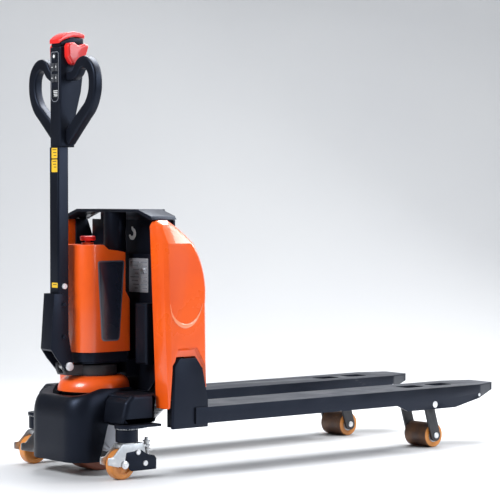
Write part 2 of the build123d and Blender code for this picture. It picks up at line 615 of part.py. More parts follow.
def steering_bearing():
    """The slewing ring between the deck and the drive unit."""
    ring = upright(STEER_X, 0, BEARING_OUTSIDE / 2, DECK_TOP, BEARING_TOP)
    return ring - upright(STEER_X, 0, BEARING_BORE / 2, DECK_TOP, BEARING_TOP)


def caster_mount():
    """The black buffer housing that a caster swivels under, with its top plate."""
    x, y = CASTER_X, CASTER_Y
    mount = upright(x, y, CASTER_HOUSING_DIAMETER / 2, CASTER_BLOCK_TOP + 3, OUTRIGGER_BOTTOM - 4)
    mount = fillet(mount.edges().filter_by(GeomType.CIRCLE), 3)
    mount += upright(x, y, 33, OUTRIGGER_BOTTOM - 4, OUTRIGGER_BOTTOM)
    return mount - upright(x, y, 10 + RUNNING, CASTER_BLOCK_TOP, OUTRIGGER_BOTTOM - 12)


def caster_fork():
    """A sprung caster's swivel block, side plates, spring post and bolts."""
    x, y = CASTER_X, CASTER_Y
    z0, z1 = CASTER_BLOCK_BOTTOM, CASTER_BLOCK_TOP
    inner = CASTER_WHEEL_WIDTH / 2 + 1.5
    outer = inner + CASTER_PLATE
    body = block(x - 28, x + 44, y - outer, y + outer, z0, z1)
    body += upright(x, y, 22, z1, z1 + 3 - SMALL)
    body += upright(x, y, 10, z1, OUTRIGGER_BOTTOM - 13)
    low = CASTER_AXLE_Z - 19
    cheek = outline(
        (x - 76, low + 22), (x - 76, low + 42), (x - 60, low + 42), (x - 28, z1), (x + 30, z1),
        (x + 50, low + 42), (x + 70, low + 38), (x + 84, low + 26), (x + 84, low), (x + 8, low),
        (x - 4, low + 14), (x - 42, low + 14))
    for y0, y1 in ((y + inner, y + outer), (y - outer, y - inner)):
        body += side_plate(cheek, y0, y1)
    body += crossbar(CASTER_AXLE_X, CASTER_AXLE_Z, 12, y + inner, y + outer)
    body += crossbar(CASTER_AXLE_X, CASTER_AXLE_Z, 12, y - outer, y - inner)
    body += crossbar(CASTER_AXLE_X, CASTER_AXLE_Z, CASTER_AXLE_DIAMETER / 2, y - outer - 4, y + outer + 4)
    for bolt_x, bolt_z, radius in ((x + 46, CASTER_AXLE_Z, 8), (x + 22, z1 - 24, 6)):
        body += crossbar(bolt_x, bolt_z, radius, y - outer - 4, y + outer + 4)
    body += block(x + 44, x + 72, y - 8, y + 8, z0, z0 + 6)
    body += upright(x + 66, y, 11, low + 16, z1 + 4)
    body += upright(x + 66, y, 6, z1, z1 + 12)
    return body


def caster_wheel():
    """A caster wheel with a rounded tread and a recessed hub."""
    y = CASTER_Y
    half = CASTER_WHEEL_WIDTH / 2
    wheel = crossbar(CASTER_AXLE_X, CASTER_AXLE_Z, CASTER_WHEEL_DIAMETER / 2, y - half, y + half)
    wheel = fillet(wheel.edges().filter_by(GeomType.CIRCLE), 6)
    for way in (1, -1):
        ring = crossbar(CASTER_AXLE_X, CASTER_AXLE_Z, 26, y + way * half, y + way * (half - 5))
        ring -= crossbar(CASTER_AXLE_X, CASTER_AXLE_Z, 13, y + way * half, y + way * (half - 5))
        wheel -= ring
    return wheel - crossbar(CASTER_AXLE_X, CASTER_AXLE_Z, CASTER_AXLE_DIAMETER / 2 + RUNNING, y - half, y + half)


def lift_cylinder():
    """The hydraulic cylinder on the mast shelf, bored for the ram rod."""
    body = upright(RAM_X, 0, CYLINDER_DIAMETER / 2, SHELF_TOP, CYLINDER_TOP)
    depth = CYLINDER_TOP - LIFT - 30 - LIFT
    return body - upright(RAM_X, 0, RAM_ROD_DIAMETER / 2 + RUNNING, depth, CYLINDER_TOP + 1)


def battery_cradle():
    """The tray under the battery, with a locating connector block."""
    tray = flat_plate(battery_plan(3), SHELF_TOP, BATTERY_BOTTOM - SMALL)
    tray -= block(RAM_X - 34, 0, -39, 39, SHELF_TOP - 1, BATTERY_BOTTOM + 1)
    return tray + block(-228, -188, -22, 22, BATTERY_BOTTOM - 1, BATTERY_BOTTOM + 12)


def pump_unit():
    """The pump motor and tank on the mast, left of the battery."""
    tank = block(MAST_X - 62, MAST_X, 88, 146, 290, 400)
    tank = fillet(tank.edges().filter_by(Axis.X), 6)
    return tank + upright(MAST_X - 31, 117, 27, 400, 500)


def controller_box():
    """The drive controller on the mast, right of the battery."""
    box = block(MAST_X - 40, MAST_X, -144, -90, 300, 470)
    return chamfer(box.faces().sort_by(Axis.X)[0].edges(), 5)


def chassis_bolts():
    """Socket screws that hold the slewing ring and the mast foot."""
    heads = []
    for step in range(8):
        angle = radians(22.5 + 45 * step)
        x = STEER_X + (BEARING_OUTSIDE / 2 - 9) * cos(angle)
        y = (BEARING_OUTSIDE / 2 - 9) * sin(angle)
        heads.append(upright(x, y, 5, BEARING_TOP, BEARING_TOP + 5))
    for side in (1, -1):
        for z in (340, 560):
            heads.append(level(MAST_X - 6, MAST_X, side * 78, z, 7))
    return Compound(children=heads)


# ---------------------------------------------------------------- steered drive unit
def steering_head():
    """The round head over the hood with two lugs for the tiller pin."""
    z0 = HOOD_TOP + SEAT
    head = upright(STEER_X, 0, HEAD_DIAMETER / 2, z0, HEAD_TOP)
    head = fillet(head.edges().filter_by(GeomType.CIRCLE).sort_by(Axis.Z)[-1:], 4)
    arm = outline(
        (STEER_X - 40, z0), (TILLER_PIVOT_X - 6, z0 + 4), (TILLER_PIVOT_X - 14, TILLER_PIVOT_HEIGHT - 8),
        (TILLER_PIVOT_X - 14, TILLER_PIVOT_HEIGHT + 8), (TILLER_PIVOT_X + 6, TILLER_PIVOT_HEIGHT + 13),
        (TILLER_PIVOT_X + 11, TILLER_PIVOT_HEIGHT + 2), (STEER_X - 40, HEAD_TOP))
    inside = TILLER_WIDTH / 2 - SEAT
    head += side_plate(arm, -inside, inside)
    head -= block(TILLER_PIVOT_X - 40, TILLER_PIVOT_X + 12, -11, 11, z0 + 9, HEAD_TOP + 30)
    head += upright(STEER_X, 0, 40, BEARING_TOP + 8, z0)
    return head - crossbar(TILLER_PIVOT_X, TILLER_PIVOT_HEIGHT, TILLER_PIN_DIAMETER / 2, -60, 60)


def hood():
    """The round moulded hood that turns with the drive unit."""
    z0 = DECK_TOP + 4
    top = HOOD_TOP
    shape = loft([
        Plane(origin=(STEER_X - HOOD_OFFSET, 0, z0)) * Circle(HOOD_DIAMETER / 2),
        Plane(origin=(STEER_X - HOOD_OFFSET, 0, z0 + 14)) * Circle(HOOD_DIAMETER / 2 - 1),
        Plane(origin=(STEER_X, 0, top)) * Circle(HOOD_TOP_DIAMETER / 2)])
    hollow = loft([
        Plane(origin=(STEER_X - HOOD_OFFSET, 0, z0 - 1)) * Circle(HOOD_DIAMETER / 2 - 3),
        Plane(origin=(STEER_X - HOOD_OFFSET, 0, z0 + 12)) * Circle(HOOD_DIAMETER / 2 - 4),
        Plane(origin=(STEER_X, 0, top - 3)) * Circle(HOOD_TOP_DIAMETER / 2 - 4)])
    return shape - hollow - upright(STEER_X, 0, 40 + SEAT, top - 10, top + 1)


def gearbox():
    """The drive leg: a flanged neck in the slewing ring, a bridge and the gear case by the wheel."""
    neck = upright(STEER_X, 0, BEARING_BORE / 2 - RUNNING, DECK_BOTTOM - 1, BEARING_TOP + 1)
    neck += upright(STEER_X, 0, BEARING_BORE / 2 + 3, BEARING_TOP + SEAT, BEARING_TOP + 8)
    wall = -DRIVE_WHEEL_WIDTH / 2 - 4
    neck += block(STEER_X - 40, STEER_X + 40, wall - 18, 30, DECK_BOTTOM - 2, DECK_BOTTOM + 4)
    case = outline(
        (STEER_X - 40, DECK_BOTTOM), (STEER_X + 40, DECK_BOTTOM), (STEER_X + 52, DRIVE_AXLE_Z + 10),
        (STEER_X + 40, DRIVE_AXLE_Z - 34), (STEER_X, DRIVE_AXLE_Z - 50), (STEER_X - 40, DRIVE_AXLE_Z - 34),
        (STEER_X - 52, DRIVE_AXLE_Z + 10))
    neck += side_plate(case, wall - 18, wall)
    axle = crossbar(STEER_X, DRIVE_AXLE_Z, DRIVE_AXLE_DIAMETER / 2, wall - 1, DRIVE_WHEEL_WIDTH / 2 + 3)
    return neck + axle


def drive_motor():
    """The traction motor with its finned end cap and brake, on the side of the gear case."""
    start = -DRIVE_WHEEL_WIDTH / 2 - 22
    motor = crossbar(STEER_X, DRIVE_AXLE_Z, 46, start - 34, start)
    motor += crossbar(STEER_X, DRIVE_AXLE_Z, 38, start - 42, start - 34)
    return motor


def drive_hub():
    """The cast drive wheel centre, bored for its axle."""
    half = DRIVE_WHEEL_WIDTH / 2
    hub = crossbar(STEER_X, DRIVE_AXLE_Z, DRIVE_HUB_DIAMETER / 2, -half, half)
    bore = DRIVE_AXLE_DIAMETER / 2 + RUNNING
    dish = crossbar(STEER_X, DRIVE_AXLE_Z, DRIVE_HUB_DIAMETER / 2 - 10, half - 14, half)
    dish -= crossbar(STEER_X, DRIVE_AXLE_Z, 32, half - 14, half)
    hub -= dish
    return hub - crossbar(STEER_X, DRIVE_AXLE_Z, bore, -half, half)


def drive_tyre():
    """The polyurethane tread of the drive wheel, with rounded shoulders."""
    half = DRIVE_WHEEL_WIDTH / 2
    tread = crossbar(STEER_X, DRIVE_AXLE_Z, DRIVE_WHEEL_DIAMETER / 2, -half, half)
    tread = fillet(tread.edges().filter_by(GeomType.CIRCLE), 7)
    return tread - crossbar(STEER_X, DRIVE_AXLE_Z, DRIVE_HUB_DIAMETER / 2, -half, half)


def tiller_pin():
    """The headed pin the tiller tilts on."""
    reach = TILLER_WIDTH / 2 + CHANNEL_WALL
    pin = crossbar(TILLER_PIVOT_X, TILLER_PIVOT_HEIGHT, TILLER_PIN_DIAMETER / 2, -reach - 1, reach + 1)
    for way in (1, -1):
        y0, y1 = sorted((way * (reach + 1), way * (reach + 6)))
        pin += crossbar(TILLER_PIVOT_X, TILLER_PIVOT_HEIGHT, 12, y0, y1)
    return pin


def return_spring():
    """The wound spring around the tiller pin that stands the tiller up."""
    coil = crossbar(TILLER_PIVOT_X, TILLER_PIVOT_HEIGHT, 11.5, -10, 10)
    return coil - crossbar(TILLER_PIVOT_X, TILLER_PIVOT_HEIGHT, TILLER_PIN_DIAMETER / 2, -10, 10)


# ---------------------------------------------------------------- tiller
def tiller_bracket():
    """The folded channel in front of the tiller's foot, with two ears on the pin."""
    inside = TILLER_WIDTH / 2
    half = inside + CHANNEL_WALL
    pivot_x, pivot_z = TILLER_PIVOT_X, TILLER_PIVOT_HEIGHT
    corner_z = pivot_z + 50
    shape = outline(
        (CHANNEL_FRONT_TOP, CHANNEL_TOP), (CHANNEL_REAR - 6, CHANNEL_TOP), (CHANNEL_REAR + 2, 420),
        (pivot_x + 13, pivot_z + 16), (pivot_x + 13, pivot_z - 6), (pivot_x + 6, pivot_z - 13),
        (pivot_x - 8, pivot_z - 13), (CHANNEL_FRONT_LOW + 18, pivot_z + 24),
        (CHANNEL_FRONT_LOW, corner_z))
    body = side_plate(shape, -half, half)
    core = outline(
        (CHANNEL_FRONT_TOP + CHANNEL_WALL, CHANNEL_TOP + 1), (0, CHANNEL_TOP + 1), (0, pivot_z - 30),
        (CHANNEL_FRONT_LOW - 1, pivot_z - 30), (CHANNEL_FRONT_LOW - 1, corner_z - 8),
        (CHANNEL_FRONT_LOW + CHANNEL_WALL, corner_z - 8), (CHANNEL_FRONT_LOW + CHANNEL_WALL, corner_z))
    body -= side_plate(core, -inside, inside)
    return body - crossbar(pivot_x, pivot_z, TILLER_PIN_DIAMETER / 2 + RUNNING, -half, half)


def tiller_tube():
    """The rectangular tube of the tiller."""
    x0, x1 = TILLER_FRONT, TILLER_FRONT + TILLER_DEPTH
    half = TILLER_WIDTH / 2
    tube = block(x0, x1, -half, half, 352, TILLER_TOP)
    tube = fillet(tube.edges().filter_by(Axis.Z), 5)
    return tube - block(x0 + TILLER_WALL, x1 - TILLER_WALL, -half + TILLER_WALL, half - TILLER_WALL,
                        351, TILLER_TOP - TILLER_WALL)


def tiller_bolts():
    """The domed bolts that clamp the tube in its channel."""
    heads = []
    for z in (380, 470):
        for way in (1, -1):
            y0, y1 = sorted((way * (TILLER_WIDTH / 2 + CHANNEL_WALL), way * (TILLER_WIDTH / 2 + CHANNEL_WALL + 4)))
            heads.append(crossbar(-312, z, 7, y0, y1))
    for way in (1, -1):
        y0, y1 = sorted((way * TILLER_WIDTH / 2, way * (TILLER_WIDTH / 2 + 5)))
        heads.append(crossbar(-308, 520, 8, y0, y1))
    return Compound(children=heads)


def tiller_head():
    """The moulded head: a spine that widens to the top, where the controls sit."""
    spine = outline(
        (HEAD_FRONT, TILLER_TOP), (HEAD_FRONT + 47, TILLER_TOP),
        (-268, 1000), (-252, 1060), (-243, 1130), (HEAD_REAR_TOP, HEAD_HIGH),
        (HEAD_FRONT, HEAD_HIGH - 10))
    head = side_plate(spine, -HEAD_HALF_WIDTH, HEAD_HALF_WIDTH)
    recess = block(HEAD_FRONT - 1, HEAD_FRONT + 6, -20 - SMALL, 20 + SMALL, 1028, 1170)
    head -= recess
    head -= block(-STEM_REACH - 14 - SMALL, -STEM_REACH + 14 + SMALL, -10 - SMALL, 10 + SMALL,
                  HEAD_HIGH - 22 - BELLY_TRAVEL, HEAD_HIGH + 1)
    shaft = THROTTLE_SHAFT_DIAMETER / 2 + RUNNING
    head -= crossbar(THROTTLE_X, THROTTLE_Z, shaft, -HEAD_HALF_WIDTH, HEAD_HALF_WIDTH)
    return head


def grip():
    """The left hand loop, from the head's shoulder round to its neck."""
    ring = outline(
        (HEAD_HALF_WIDTH, 1088), (HEAD_HALF_WIDTH, 1114), (52, 1117), (78, 1148), (104, GRIP_HIGH),
        (134, 1148), (158, 1126), (GRIP_HALF_WIDTH, 1096), (GRIP_HALF_WIDTH - 2, 1050), (148, 1006),
        (HEAD_HALF_WIDTH, TILLER_TOP), (HEAD_HALF_WIDTH, 952), (112, 1024), (132, 1062),
        (134, 1092), (122, 1112), (100, 1122), (86, 1116), (64, 1091))
    return front_plate(ring, GRIP_X - GRIP_DEPTH / 2, GRIP_X + GRIP_DEPTH / 2)


def control_panel():
    """The dark control panel with openings for its buttons and a display window."""
    panel = block(HEAD_FRONT - 1, HEAD_FRONT + 6 - 0.2, -20, 20, 1028 + SMALL, 1170 - SMALL)
    panel -= level(HEAD_FRONT - 2, HEAD_FRONT + 7, 0, 1156, 8 + SMALL)
    for y, z in ((-9, 1126), (9, 1126), (-9, 1096), (9, 1096)):
        panel -= block(HEAD_FRONT - 2, HEAD_FRONT + 7, y - 7 - SMALL, y + 7 + SMALL,
                       z - 11 - SMALL, z + 11 + SMALL)
    panel -= block(HEAD_FRONT - 2, HEAD_FRONT + 1, -15, 15, 1040, 1066)
    return panel


def horn_button():
    """The round horn button at the top of the panel."""
    return level(HEAD_FRONT - 4, HEAD_FRONT + 2, 0, 1156, 8)


def key_button(y, z):
    """A rectangular key of the control panel."""
    key = block(HEAD_FRONT - 4, HEAD_FRONT + 2, y - 7, y + 7, z - 11, z + 11)
    return chamfer(key.faces().sort_by(Axis.X)[0].edges(), 1.2)


def belly_button():
    """The red cap over the head that stops and backs the truck when it is pushed."""
    z0 = HEAD_HIGH + BELLY_TRAVEL + SEAT
    cap = make_face(Curve() + [
        Line((HEAD_FRONT - 2, z0 - 10), (HEAD_FRONT - 2, z0 + 1)),
        ThreePointArc((HEAD_FRONT - 2, z0 + 1), (-280, z0 + 23), (HEAD_REAR_TOP, z0 + 16)),
        Line((HEAD_REAR_TOP, z0 + 16), (HEAD_REAR_TOP, z0 + 6)),
        ThreePointArc((HEAD_REAR_TOP, z0 + 6), (-280, z0 + 8), (HEAD_FRONT - 2, z0 - 10))])
    cap = side_plate(cap, -HEAD_HALF_WIDTH, HEAD_HALF_WIDTH)
    return cap + block(-STEM_REACH - 14, -STEM_REACH + 14, -10, 10, HEAD_HIGH - 21, z0 + 12)


def throttle():
    """The two thumb paddles on one shaft through the head."""
    shaft = crossbar(THROTTLE_X, THROTTLE_Z, THROTTLE_SHAFT_DIAMETER / 2, -HEAD_HALF_WIDTH - 2, HEAD_HALF_WIDTH + 2)
    wing = outline(
        (THROTTLE_X - 34, THROTTLE_Z + 24), (THROTTLE_X + 26, THROTTLE_Z + 24),
        (THROTTLE_X + 38, THROTTLE_Z + 12), (THROTTLE_X + 26, THROTTLE_Z - 8),
        (THROTTLE_X + 6, THROTTLE_Z - 20), (THROTTLE_X - 6, THROTTLE_Z - 33),
        (THROTTLE_X - 24, THROTTLE_Z - 33), (THROTTLE_X - 35, THROTTLE_Z - 20))
    for way in (1, -1):
        y0, y1 = sorted((way * (HEAD_HALF_WIDTH + 1), way * (HEAD_HALF_WIDTH + 22)))
        shaft += side_plate(wing, y0, y1)
    return shaft


# ---------------------------------------------------------------- battery
def battery_plan(inset=0.0):
    """The battery seen from above: big front corners and small rear ones."""
    front = BATTERY_FRONT + inset
    rear = BATTERY_REAR - inset
    half = BATTERY_HALF_WIDTH - inset
    plan = Pos((front + rear) / 2, 0) * Rectangle(rear - front, 2 * half)
    plan = fillet(plan.vertices().sort_by(Axis.X)[:2], BATTERY_CORNER - inset)
    return fillet(plan.vertices().sort_by(Axis.X)[-2:], 12)


def battery_case():
    """The battery housing, hollowed behind for the ram and stepped back at its waist."""
    case = flat_plate(battery_plan(), BATTERY_BOTTOM, BATTERY_TOP)
    step = outline(
        (BATTERY_UPPER_REAR, BATTERY_TOP + 1), (BATTERY_UPPER_REAR, BATTERY_WAIST + 24),
        (BATTERY_REAR + 1, BATTERY_WAIST - 10), (BATTERY_REAR + 1, BATTERY_TOP + 1))
    case -= side_plate(step, -90, 90)
    crown = outline(
        (STEER_X - 18, BATTERY_TOP + 1), (STEER_X, BATTERY_TOP - 13), (STEER_X + 32, BATTERY_TOP - 17),
        (BATTERY_REAR + 1, BATTERY_TOP - 26), (BATTERY_REAR + 1, BATTERY_TOP + 1))
    case -= side_plate(crown, -90, 90)
    recess = SHROUD_DIAMETER / 2 + 6
    case -= block(RAM_X, 0, -recess, recess, BATTERY_BOTTOM - 1, BATTERY_TOP + 1)
    case -= upright(RAM_X, 0, recess, BATTERY_BOTTOM - 1, BATTERY_TOP + 1)
    case -= block(-230, -186, -24, 24, BATTERY_BOTTOM - 1, BATTERY_BOTTOM + 16)
    case += upright(STOP_X, 0, 17, BATTERY_TOP - 1, BATTERY_TOP + 6)
    return case - upright(STOP_X, 0, STOP_STEM + SMALL, BATTERY_TOP - 12, BATTERY_TOP + 7)


def emergency_stop():
    """The red mushroom knob."""
    z0 = BATTERY_TOP + 11
    knob = upright(STOP_X, 0, STOP_DIAMETER / 2, z0, z0 + 13)
    knob = fillet(knob.edges().filter_by(GeomType.CIRCLE), 4)
    return knob + upright(STOP_X, 0, STOP_STEM, BATTERY_TOP - 4, z0 + 2)


KEY_PLACES = {
    "lift_button": (-9, 1126), "lower_button": (9, 1126),
    "creep_button": (-9, 1096), "power_button": (9, 1096)}


def pieces():
    """Every piece by its node name."""
    made = {
        "chassis_frame": chassis_frame(), "chassis_mast": chassis_mast(), "drive_cover": drive_cover(),
        "steering_bearing": steering_bearing(), "chassis_bolts": chassis_bolts(),
        "lift_cylinder": lift_cylinder(), "battery_cradle": battery_cradle(), "pump_unit": pump_unit(),
        "controller_box": controller_box(), "steering_head": steering_head(), "hood": hood(),
        "gearbox": gearbox(), "drive_motor": drive_motor(), "tiller_pin": tiller_pin(),
        "return_spring": return_spring(), "drive_hub": drive_hub(), "drive_tyre": drive_tyre(),
        "tiller_bracket": tiller_bracket(), "tiller_tube": tiller_tube(), "tiller_head": tiller_head(),
        "tiller_bolts": tiller_bolts(), "control_panel": control_panel(), "throttle": throttle(),
        "belly_button": belly_button(), "horn_button": horn_button(), "battery_case": battery_case(),
        "emergency_stop": emergency_stop(), "back_plate": back_plate(),
        "top_bracket": top_bracket(), "ram_shroud": ram_shroud(), "lift_rod": lift_rod(),
        "guide_shoes": guide_shoes(), "torsion_crank": torsion_crank(),
        "fork_pins": both(fork_pins()), "heel_plates": both(heel_plate()),
        "caster_mounts": both(caster_mount())}
    for name, place in KEY_PLACES.items():
        made[name] = key_button(*place)
    paired = {
        "fork": fork, "side_cover": side_cover, "push_rod": push_rod,
        "rocker": rocker, "load_tyre": load_tyre, "load_hub": load_hub, "entry_roller": entry_roller,
        "caster_fork": caster_fork, "caster_wheel": caster_wheel,
        "grip": grip}
    for name, make in paired.items():
        left = make()
        made[name + "_left"] = left
        made[name + "_right"] = other_side(left)
    return made


def placed(piece):
    """The piece moved so that the origin is the middle of the footprint."""
    solids = [Pos(HEEL_X, 0, 0) * solid for solid in piece.solids()]
    return solids[0] if len(solids) == 1 else Compound(children=solids)


os.makedirs("parts", exist_ok=True)
for node, piece in pieces().items():
    export_step(placed(piece), f"parts/{node}.step")
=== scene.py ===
"""Looks of the electric pallet truck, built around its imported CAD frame.

Sizes inside the classes are millimetres from the heel face of the forks: +X to the fork tips, +Y to
the left, +Z up. They become metres in the shared frame when a mesh is made.
"""

from __future__ import annotations

import json
import logging
import math
from dataclasses import dataclass, field
from enum import Enum
from typing import Callable, Sequence, Union

import bmesh
import bpy
from mathutils import Matrix, Vector


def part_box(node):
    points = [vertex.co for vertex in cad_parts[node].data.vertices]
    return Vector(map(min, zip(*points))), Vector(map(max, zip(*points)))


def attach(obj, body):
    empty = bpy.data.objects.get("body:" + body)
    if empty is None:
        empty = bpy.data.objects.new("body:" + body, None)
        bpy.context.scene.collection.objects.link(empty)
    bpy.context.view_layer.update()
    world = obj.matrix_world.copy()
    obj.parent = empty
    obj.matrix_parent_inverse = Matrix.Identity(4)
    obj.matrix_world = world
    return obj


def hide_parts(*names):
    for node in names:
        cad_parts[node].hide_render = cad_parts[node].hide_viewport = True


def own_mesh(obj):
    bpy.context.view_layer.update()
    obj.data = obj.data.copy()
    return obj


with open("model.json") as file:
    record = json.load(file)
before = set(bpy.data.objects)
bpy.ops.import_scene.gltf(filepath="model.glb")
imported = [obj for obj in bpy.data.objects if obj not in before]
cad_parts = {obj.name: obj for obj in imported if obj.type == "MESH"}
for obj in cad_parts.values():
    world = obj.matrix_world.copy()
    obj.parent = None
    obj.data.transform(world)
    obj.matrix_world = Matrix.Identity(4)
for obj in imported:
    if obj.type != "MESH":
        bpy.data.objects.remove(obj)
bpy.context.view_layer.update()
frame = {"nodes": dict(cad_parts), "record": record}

LOG = logging.getLogger("pallet_truck")
MM = 0.001
FORK_LENGTH = 1150.0
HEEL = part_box("fork_left")[1].x / MM - FORK_LENGTH
SHARP_ANGLE = math.radians(34)
WELD = 0.02
NODE_WELD = 0.00002
FLAT_ANGLE = math.radians(0.8)
BREAK_ANGLE = math.radians(32)
BROKEN_EDGE = 0.7
SCUFF_ROUGHNESS = 0.22
DUST_ROUGHNESS = 0.5

Point = tuple[float, float]
Corner = tuple[float, float, float]
Value = Union[bpy.types.NodeSocket, float]


class Side(Enum):
    """The left and right half of the truck."""

    LEFT = 1
    RIGHT = -1

    @property
    def word(self) -> str:
        """The side's name as the CAD nodes spell it."""
        return self.name.lower()

    def span(self, inner: float, outer: float) -> tuple[float, float]:
        """A stretch on this side, given from the middle outwards, as its low and high end."""
        low, high = sorted((self.value * inner, self.value * outer))
        return low, high

    def rims(self, inner: float, outer: float) -> dict[str, float]:
        """The inner and outer rim widths as a slab takes them."""
        return {"edge": outer, "low_edge": inner} if self is Side.LEFT else {"edge": inner, "low_edge": outer}


class Facing(Enum):
    """The axis an outline is thickened along."""

    X = "x"
    Y = "y"
    Z = "z"


# ---------------------------------------------------------------- shader groups
class Effects:
    """The shader node groups that the finishes share."""

    def __init__(self) -> None:
        """Builds every group once."""
        self.grain = self._grain()
        self.scuff = self._scuff()
        self.dust = self._dust()
        self.brushed = self._brushed()

    @staticmethod
    def _new(name: str, inputs: dict[str, tuple[str, float]], outputs: dict[str, str],
             ) -> tuple[bpy.types.NodeTree, bpy.types.Node, bpy.types.Node]:
        """Makes an empty group.

        Args:
            name: The group's name.
            inputs: Socket names with their type and default.
            outputs: Socket names with their type.

        Returns:
            The tree with its input and output nodes.
        """
        tree = bpy.data.node_groups.new(name, "ShaderNodeTree")
        for label, (kind, value) in inputs.items():
            socket = tree.interface.new_socket(label, in_out="INPUT", socket_type=kind)
            if kind == "NodeSocketFloat":
                socket.default_value = value
        for label, kind in outputs.items():
            tree.interface.new_socket(label, in_out="OUTPUT", socket_type=kind)
        return tree, tree.nodes.new("NodeGroupInput"), tree.nodes.new("NodeGroupOutput")

    @staticmethod
    def _noise(tree: bpy.types.NodeTree, vector: bpy.types.NodeSocket, scale: Value,
               detail: float) -> bpy.types.Node:
        """A noise texture in a group.

        Args:
            tree: The group's tree.
            vector: The socket with the place.
            scale: The socket with the scale, or a number.
            detail: Octaves of noise.

        Returns:
            The noise node.
        """
        node = tree.nodes.new("ShaderNodeTexNoise")
        node.inputs["Detail"].default_value = detail
        tree.links.new(vector, node.inputs["Vector"])
        if isinstance(scale, (int, float)):
            node.inputs["Scale"].default_value = scale
        else:
            tree.links.new(scale, node.inputs["Scale"])
        return node

    @staticmethod
    def _math(tree: bpy.types.NodeTree, operation: str, first: Value, second: Value) -> bpy.types.NodeSocket:
        """A maths node in a group.

        Args:
            tree: The group's tree.
            operation: The operation's name.
            first: A socket or a number.
            second: A socket or a number.

        Returns:
            The node's output socket.
        """
        node = tree.nodes.new("ShaderNodeMath")
        node.operation = operation
        for socket, value in zip(node.inputs, (first, second)):
            if isinstance(value, (int, float)):
                socket.default_value = value
            else:
                tree.links.new(value, socket)
        return node.outputs[0]

    @staticmethod
    def _band(tree: bpy.types.NodeTree, value: bpy.types.NodeSocket, low: Value,
              high: Value) -> bpy.types.NodeSocket:
        """Maps a stretch of values to 0..1 and clamps the rest.

        Args:
            tree: The group's tree.
            value: The socket to map.
            low: The value that becomes 0.
            high: The value that becomes 1.

        Returns:
            The output socket.
        """
        node = tree.nodes.new("ShaderNodeMapRange")
        node.clamp = True
        tree.links.new(value, node.inputs["Value"])
        for label, bound in (("From Min", low), ("From Max", high)):
            if isinstance(bound, (int, float)):
                node.inputs[label].default_value = bound
            else:
                tree.links.new(bound, node.inputs[label])
        return node.outputs["Result"]

    def _grain(self) -> bpy.types.NodeTree:
        """Fine surface grain over a slow unevenness."""
        tree, start, end = self._new(
            "surface_grain",
            {"Vector": ("NodeSocketVector", 0), "Scale": ("NodeSocketFloat", 900.0),
             "Slow Scale": ("NodeSocketFloat", 9.0), "Slow Share": ("NodeSocketFloat", 0.4)},
            {"Height": "NodeSocketFloat", "Mask": "NodeSocketFloat"})
        fine = self._noise(tree, start.outputs["Vector"], start.outputs["Scale"], 2.0)
        slow = self._noise(tree, start.outputs["Vector"], start.outputs["Slow Scale"], 4.0)
        share = self._math(tree, "MULTIPLY", slow.outputs["Fac"], start.outputs["Slow Share"])
        tree.links.new(self._math(tree, "ADD", fine.outputs["Fac"], share), end.inputs["Height"])
        tree.links.new(self._band(tree, slow.outputs["Fac"], 0.35, 0.65), end.inputs["Mask"])
        return tree

    def _scuff(self) -> bpy.types.NodeTree:
        """Thin rubbed streaks that gather in patches."""
        tree, start, end = self._new(
            "scuffs",
            {"Vector": ("NodeSocketVector", 0), "Scale": ("NodeSocketFloat", 14.0),
             "Amount": ("NodeSocketFloat", 0.3)},
            {"Mask": "NodeSocketFloat"})
        mapping = tree.nodes.new("ShaderNodeMapping")
        mapping.inputs["Scale"].default_value = (1.0, 1.0, 9.0)
        mapping.inputs["Rotation"].default_value = (0.5, 0.9, 0.2)
        tree.links.new(start.outputs["Vector"], mapping.inputs["Vector"])
        patch = self._noise(tree, start.outputs["Vector"], start.outputs["Scale"], 5.0)
        fine_scale = self._math(tree, "MULTIPLY", start.outputs["Scale"], 7.0)
        streak = self._noise(tree, mapping.outputs["Vector"], fine_scale, 3.0)
        eased = self._math(tree, "MULTIPLY", start.outputs["Amount"], 0.3)
        level = self._math(tree, "SUBTRACT", 0.78, eased)
        ceiling = self._math(tree, "ADD", level, 0.12)
        both = self._math(tree, "ADD", self._math(tree, "MULTIPLY", patch.outputs["Fac"], 0.6),
                          self._math(tree, "MULTIPLY", streak.outputs["Fac"], 0.5))
        tree.links.new(self._band(tree, both, level, ceiling), end.inputs["Mask"])
        return tree

    def _dust(self) -> bpy.types.NodeTree:
        """Dust that settles on faces that look up."""
        tree, start, end = self._new(
            "settled_dust",
            {"Vector": ("NodeSocketVector", 0), "Normal": ("NodeSocketVector", 0),
             "Amount": ("NodeSocketFloat", 0.2)},
            {"Mask": "NodeSocketFloat"})
        parts = tree.nodes.new("ShaderNodeSeparateXYZ")
        tree.links.new(start.outputs["Normal"], parts.inputs[0])
        up = self._band(tree, parts.outputs["Z"], 0.3, 1.0)
        cloud = self._noise(tree, start.outputs["Vector"], 22.0, 6.0)
        patchy = self._band(tree, cloud.outputs["Fac"], 0.38, 0.7)
        settled = self._math(tree, "MULTIPLY", up, patchy)
        amount = self._math(tree, "MULTIPLY", settled, start.outputs["Amount"])
        tree.links.new(amount, end.inputs["Mask"])
        return tree

    def _brushed(self) -> bpy.types.NodeTree:
        """Fine parallel lines left by a brush or a lathe tool."""
        tree, start, end = self._new(
            "brush_lines",
            {"Vector": ("NodeSocketVector", 0), "Scale": ("NodeSocketFloat", 60.0)},
            {"Height": "NodeSocketFloat", "Mask": "NodeSocketFloat"})
        mapping = tree.nodes.new("ShaderNodeMapping")
        mapping.inputs["Scale"].default_value = (1.0, 22.0, 22.0)
        tree.links.new(start.outputs["Vector"], mapping.inputs["Vector"])
        lines = self._noise(tree, mapping.outputs["Vector"], start.outputs["Scale"], 3.0)
        tree.links.new(lines.outputs["Fac"], end.inputs["Height"])
        tree.links.new(self._band(tree, lines.outputs["Fac"], 0.4, 0.62), end.inputs["Mask"])
        return tree


